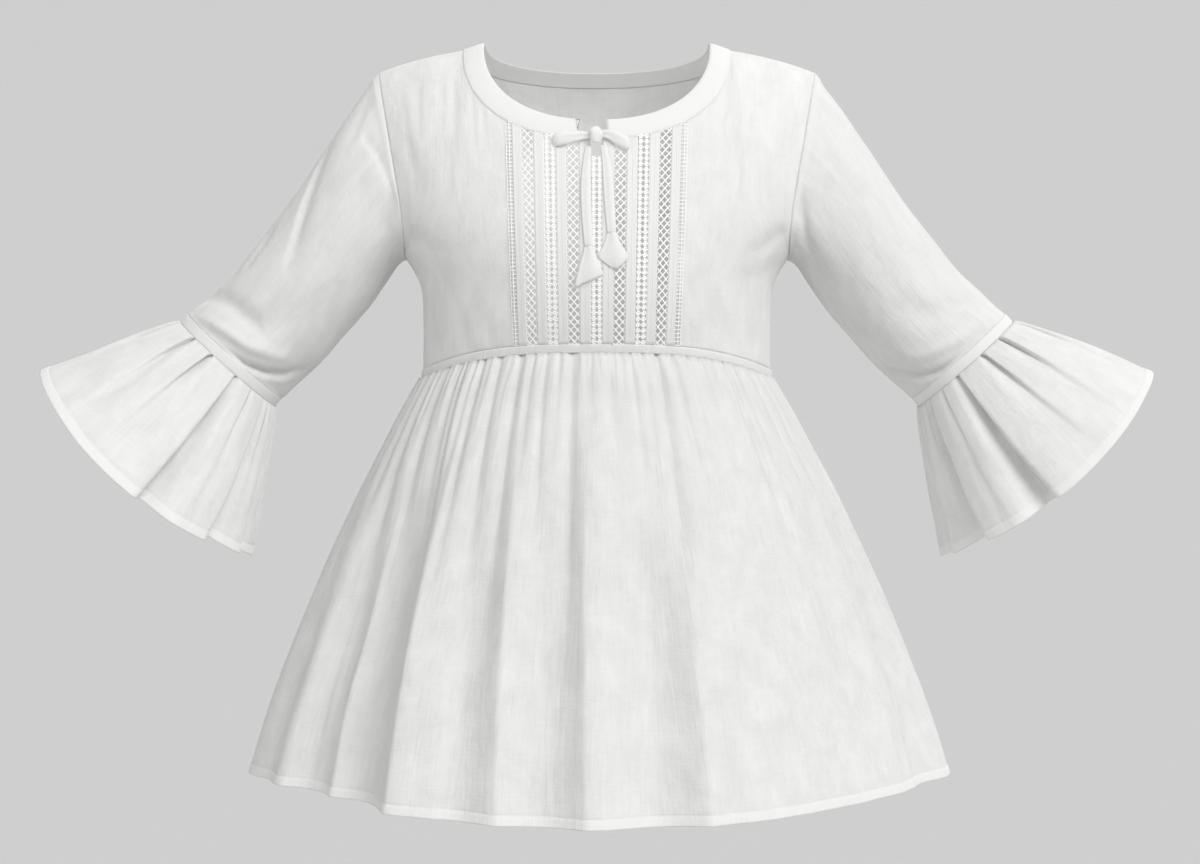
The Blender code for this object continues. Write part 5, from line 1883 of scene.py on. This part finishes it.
def tape(name, node, stations, ridge):
    """A flat length of cloth that lies in front of the bib."""
    rings = []
    path = []
    for station in finer(stations, TAIL_ROWS):
        lean = math.radians(station.turn)
        middle = bodice_point(station.x, station.z, True)
        middle.y -= TIE_PROUD
        path.append(middle.copy())
        ring = []
        for across, depth in flat_section(station.width, station.thickness, ridge):
            reach = Vector((math.cos(lean), 0.0, math.sin(lean))) * across
            ring.append(middle + reach - Vector((0.0, depth, 0.0)))
        rings.append(ring)
    return tie_loft(name, node, rings), path


def make_loop(name, stations, side, node):
    """A bow loop: a folded length of cloth, pinched at the knot, whose back rests on the bib."""
    rings = []
    fine = finer(stations, TAIL_ROWS)
    for number, station in enumerate(fine):
        x = KNOT_CENTRE_X + side * station.out
        z = KNOT_CENTRE_Z - station.drop
        pinch = 1 - fade(number / len(fine), 0.0, 0.75)
        section = []
        for corner in range(TIE_SIDES):
            turn = math.tau * corner / TIE_SIDES
            up = station.height / 2 * math.sin(turn)
            depth = station.thickness / 2 * math.cos(turn)
            if depth < 0:
                crease = math.exp(-((up / station.height * 5.0 + 0.4) ** 2))
                depth += station.thickness * 0.32 * pinch * crease
            section.append((up, depth))
        rest = min(bodice_point(x, z + up, True).y - depth for up, depth in section)
        y = rest - LOOP_CLEARANCE
        rings.append([Vector((x, y + depth, z + up)) for up, depth in section])
    tie_loft(name, node, rings)


def make_knot():
    """The knot: a short turn of cloth over the crossing, with soft wraps."""
    surface = bodice_point(0.0, KNOT_CENTRE_Z - KNOT_SIZE[2] / 2, True)
    centre_y = surface.y - LOOP_CLEARANCE - KNOT_SIZE[1] / 2
    rings = []
    for share in shares(KNOT_ROWS):
        lat = mix(-1.45, 1.45, share)
        ring = []
        for corner in range(KNOT_SIDES):
            turn = math.tau * corner / KNOT_SIDES
            wrap = 1 + KNOT_WRAP * math.sin(4.0 * lat + 1.2 * math.cos(turn))
            wrap += KNOT_WRAP * math.cos(3 * turn + 2 * lat)
            across = KNOT_SIZE[0] / 2 * math.cos(lat) ** KNOT_ROUNDNESS * wrap * math.cos(turn)
            depth = KNOT_SIZE[1] / 2 * math.cos(lat) ** KNOT_ROUNDNESS * wrap * math.sin(turn)
            z = KNOT_CENTRE_Z + KNOT_SIZE[2] / 2 * math.sin(lat)
            ring.append(Vector((KNOT_CENTRE_X + across, centre_y + depth, z)))
        rings.append(ring)
    tie_loft("bow_knot", "tie_knot", rings)


def make_tail(word, stations, tassel_stations):
    """One tail of the tie, with the folded cloth end that it carries."""
    end, _ = tape(f"bow_end_{word}", f"tie_end_{word}", tassel_stations, END_FOLD)
    tail, path = tape(f"bow_tail_{word}", f"tie_tail_{word}", stations, TAIL_FOLD)
    run_lengths(path)[-1]


# ---- settings ----
def metres(name, description, default):
    """A setting in metres."""
    given = {"name": name, "description": description, "default": default}
    return FloatProperty(**given, unit="LENGTH", precision=5)


def number(name, description, default, subtype="NONE"):
    return FloatProperty(name=name, description=description, default=default, subtype=subtype)


def white(name, description, default):
    return FloatVectorProperty(name=name, description=description, default=default, subtype="COLOR")


class PeplumCloth(bpy.types.PropertyGroup):
    """The gauze's thickness, colour and surface."""

    layer: metres("Layer", "Thickness of one layer of gauze", 0.0005)
    colour: white("Colour", "White of the single cloth", (0.92, 0.92, 0.914))
    thread_colour: white("Thread", "White of the lace and stitches", (0.96, 0.96, 0.955))
    # Also painted shade: the gauze is this much darker in the low places of its crinkles and clouds.
    thin_share: number("Thin places", "Brightness of the cloth's thin places", 0.88, "FACTOR")
    double_share: number("Double cloth", "Brightness where the cloth is double", 1.0, "FACTOR")
    see_through: number("Lit through", "Share of the light that passes a layer", 0.35, "FACTOR")
    crinkle_height: metres("Crinkle", "Height of the finest crinkles", 0.00045)
    weave_pitch: metres("Weave", "Distance between threads of the weave", 0.0006)


class PeplumSewing(bpy.types.PropertyGroup):
    """Sizes of hems, bands and stitches."""

    skirt_hem: metres("Skirt hem", "Width of the skirt's hem", 0.0083)
    flounce_hem: metres("Flounce hem", "Width of the flounces' hems", 0.0070)
    band_proud: metres("Neckband", "How proud the neckband stands", 0.0012)
    piping_proud: metres("Narrow bands", "How proud the narrow bands stand", 0.0008)
    band_thickness: metres("Band", "Thickness of a folded band", 0.0018)
    pitch: metres("Pitch", "Distance from stitch to stitch", 0.0030)
    length: metres("Stitch", "Length of a stitch", 0.0022)
    thread: metres("Thread", "Radius of the sewing thread", 0.00022)


class PeplumLace(bpy.types.PropertyGroup):
    """Sizes of the net and the crochet."""

    net_height: metres("Diamond", "Height of a diamond of the net", 0.0070)
    net_cord: metres("Net cord", "Thickness of the net's cords", 0.00125)
    flower_pitch: metres("Flower pitch", "Height from flower to flower", 0.0050)
    flower_ring: metres("Flower ring", "Radius of the ring of petals", 0.00165)
    petal_length: metres("Petal length", "Length of a petal", 0.0022)
    petal_width: metres("Petal width", "Width of a petal", 0.0015)
    leaf_pitch: metres("Leaf pitch", "Height from leaf to leaf on the edging", 0.0034)
    leaf_length: metres("Leaf length", "Length of a leaf of the edging", 0.0038)
    chain: metres("Chain", "Thickness of the crochet's chains", 0.0009)


class PeplumStage(bpy.types.PropertyGroup):
    """The studio: camera, light, floor and backdrop."""

    lens: number("Lens", "Focal length in millimetres", 104.3)
    camera_place: FloatVectorProperty(
        name="Camera", description="Where the camera stands", default=(0.003, -3.2, -0.3514), subtype="XYZ"
    )
    key_power: number("Key", "Strength of the main light", 2.33)
    key_turn: number("Key turn", "Degrees to the right of the front", 36.0)
    key_height: number("Key height", "Degrees above the horizon", 36.0)
    key_softness: number("Key softness", "Width of the main light in degrees", 36.0)
    fill_power: number("Fill", "Strength of the light from the left", 0.32)
    back_power: number("Back", "Strength of the light from behind", 1.15)
    sky: number("Sky", "Strength of the even light all round", 0.56)
    grey: number("Backdrop", "Grey of the floor and backdrop", 0.55, "FACTOR")
    floor_z: metres("Floor", "Height of the floor", -2.3)
    wall_y: metres("Wall", "Distance of the backdrop", 6.0)
    stage_columns: IntProperty(name="Sweep", description="Faces round the backdrop's bend", default=16)


# ---- operators ----
class PieceOperator:
    """What all the operators share."""

    bl_options = {"REGISTER", "UNDO"}


class PEPLUM_OT_bodice(PieceOperator, bpy.types.Operator):
    """Make the two bodice fronts and the back"""

    bl_idname = "peplum.bodice"
    bl_label = "Bodice"

    def execute(self, context):
        make_bodice_back()
        for side, word in SIDES:
            make_bodice_front(side, word)
        return {"FINISHED"}


class PEPLUM_OT_bib(PieceOperator, bpy.types.Operator):
    """Make the bib's plain, net and crochet strips"""

    bl_idname = "peplum.bib"
    bl_label = "Lace Bib"

    def execute(self, context):
        centre = CENTRE_STRIP_EDGE
        make_crochet("crochet_centre", -centre, centre, 1, False, "centre_crochet_strip", KEYHOLE_BOTTOM_Z)
        for side, word in SIDES:
            inner = centre
            for strip in BIB_SIDE_STRIPS:
                if strip.kind == "plain":
                    make_plain_strip(strip, inner, side, word)
                elif strip.kind == "net":
                    make_net_strip(strip, inner, side, word)
                else:
                    name = f"{strip.name.replace('crochet', 'flowers')}_{word}"
                    edging = strip.kind == "edging"
                    make_crochet(name, inner, strip.outer_edge, side, edging, f"{strip.name}_{word}")
                inner = strip.outer_edge
        return {"FINISHED"}


class PEPLUM_OT_neckband(PieceOperator, bpy.types.Operator):
    """Make the neckband"""

    bl_idname = "peplum.neckband"
    bl_label = "Neckband"

    def execute(self, context):
        make_neckband()
        return {"FINISHED"}


class PEPLUM_OT_waist_band(PieceOperator, bpy.types.Operator):
    """Make the band under the bust"""

    bl_idname = "peplum.waist_band"
    bl_label = "Waist Band"

    def execute(self, context):
        make_waist_band()
        return {"FINISHED"}


class PEPLUM_OT_skirt(PieceOperator, bpy.types.Operator):
    """Make the gathered skirt and stitch its hem"""

    bl_idname = "peplum.skirt"
    bl_label = "Skirt"

    def execute(self, context):
        hem_band = context.scene.peplum_sewing.skirt_hem
        lines = []
        for front in (True, False):
            make_skirt_panel(front, hem_band, lines)
        stitches("skirt_hem_stitches", lines)
        return {"FINISHED"}


class PEPLUM_OT_sleeves(PieceOperator, bpy.types.Operator):
    """Make the sleeves, their cuff bands and their flounces"""

    bl_idname = "peplum.sleeves"
    bl_label = "Sleeves"

    def execute(self, context):
        for side, word in SIDES:
            make_sleeve(side, word)
            make_cuff_band(side, word)
            make_flounce(side, word, context.scene.peplum_sewing.flounce_hem)
        return {"FINISHED"}


class PEPLUM_OT_tie(PieceOperator, bpy.types.Operator):
    """Make the tie: its tails and their ends, the loops and the knot"""

    bl_idname = "peplum.tie"
    bl_label = "Tie"

    def execute(self, context):
        make_tail("left", TAIL_LEFT, TASSEL_LEFT)
        make_tail("right", TAIL_RIGHT, TASSEL_RIGHT)
        make_loop("bow_loop_left", LOOP_LEFT, -1, "tie_loop_left")
        make_loop("bow_loop_right", LOOP_RIGHT, 1, "tie_loop_right")
        make_knot()
        return {"FINISHED"}


# Lights besides the key: their turns to the right of the front, heights and softness, in degrees.
FILL_LIGHT = (-50.0, 22.0, 60.0)
BACK_LIGHT = (150.0, 35.0, 40.0)
BACKDROP_BEND = 0.5
BACKDROP_HALF_WIDTH = 8.0
BACKDROP_HEIGHT = 4.0
SENSOR_WIDTH = 36.0


def add_sun(name, power, turn, height, softness):
    """A soft light from a turn to the right of the front and a height above the horizon."""
    light = bpy.data.lights.new(name, "SUN")
    light.energy = power
    light.angle = math.radians(softness)
    turn = math.radians(turn)
    aim = Vector((math.sin(turn), -math.cos(turn), math.tan(math.radians(height))))
    new_object(name, light).rotation_euler = aim.to_track_quat("Z", "Y").to_euler()


def make_backdrop(stage):
    """A floor that sweeps up into a wall behind the top."""
    bend = BACKDROP_BEND
    width = BACKDROP_HALF_WIDTH
    profile = [(-width, 0.0)]
    for share in shares(stage.stage_columns):
        angle = math.pi / 2 * share
        profile.append((stage.wall_y - bend + bend * math.sin(angle), bend - bend * math.cos(angle)))
    profile.append((stage.wall_y, BACKDROP_HEIGHT))
    bm = bmesh.new()
    lines = []
    for y, z in profile:
        lines.append([bm.verts.new((x, y, z + stage.floor_z)) for x in (-width, width)])
    for low, high in zip(lines, lines[1:]):
        bm.faces.new((low[0], low[1], high[1], high[0]))
    mesh = smooth_mesh("backdrop", bm)
    paper = {"Base Color": (stage.grey, stage.grey, stage.grey, 1.0), "Roughness": 1.0}
    mesh.materials.append(new_finish("backdrop_paper", {**paper, "Specular IOR Level": 0.0})[0])
    new_object("backdrop", mesh)


class PEPLUM_OT_stage(PieceOperator, bpy.types.Operator):
    """Set up the camera, the lights, the floor and the backdrop"""

    bl_idname = "peplum.stage"
    bl_label = "Studio"

    def execute(self, context):
        stage = context.scene.peplum_stage
        data = bpy.data.cameras.new("camera")
        data.lens = stage.lens
        data.sensor_width = SENSOR_WIDTH
        camera = new_object("camera", data)
        camera.location = stage.camera_place
        camera.rotation_euler = (math.pi / 2, 0.0, 0.0)
        context.scene.camera = camera
        add_sun("key", stage.key_power, stage.key_turn, stage.key_height, stage.key_softness)
        add_sun("fill", stage.fill_power, *FILL_LIGHT)
        add_sun("back", stage.back_power, *BACK_LIGHT)
        world = bpy.data.worlds.new("studio")
        world.use_nodes = True
        world.node_tree.nodes["Background"].inputs["Strength"].default_value = stage.sky
        world.node_tree.nodes["Background"].inputs["Color"].default_value = (1.0, 1.0, 1.0, 1.0)
        context.scene.world = world
        context.scene.view_settings.view_transform = "Standard"
        make_backdrop(stage)
        return {"FINISHED"}


OPERATORS = (
    PEPLUM_OT_stage,
    PEPLUM_OT_tie,
    PEPLUM_OT_bodice,
    PEPLUM_OT_bib,
    PEPLUM_OT_neckband,
    PEPLUM_OT_waist_band,
    PEPLUM_OT_skirt,
    PEPLUM_OT_sleeves,
)
SETTINGS = (
    ("peplum_cloth", PeplumCloth),
    ("peplum_sewing", PeplumSewing),
    ("peplum_lace", PeplumLace),
    ("peplum_stage", PeplumStage),
)


class PEPLUM_PT_panel(bpy.types.Panel):
    """The top's pieces and their sizes"""

    bl_idname = "PEPLUM_PT_panel"
    bl_label = "Peplum Top"
    bl_space_type = "VIEW_3D"
    bl_region_type = "UI"
    bl_category = "Peplum Top"

    def draw(self, context):
        for name, group in SETTINGS:
            box = self.layout.box()
            box.label(text=group.__doc__)
            for size in group.__annotations__:
                box.prop(getattr(context.scene, name), size)
        for operator in OPERATORS:
            self.layout.operator(operator.bl_idname)


def register():
    for name, group in SETTINGS:
        bpy.utils.register_class(group)
        setattr(bpy.types.Scene, name, PointerProperty(type=group))
    for operator in OPERATORS:
        bpy.utils.register_class(operator)
    bpy.utils.register_class(PEPLUM_PT_panel)


def unregister():
    bpy.utils.unregister_class(PEPLUM_PT_panel)
    for operator in reversed(OPERATORS):
        bpy.utils.unregister_class(operator)
    for name, group in reversed(SETTINGS):
        delattr(bpy.types.Scene, name)
        bpy.utils.unregister_class(group)


def main():
    register()
    for operator in OPERATORS:
        section, _, action = operator.bl_idname.partition(".")
        getattr(getattr(bpy.ops, section), action)()


if __name__ == "__main__":
    main()
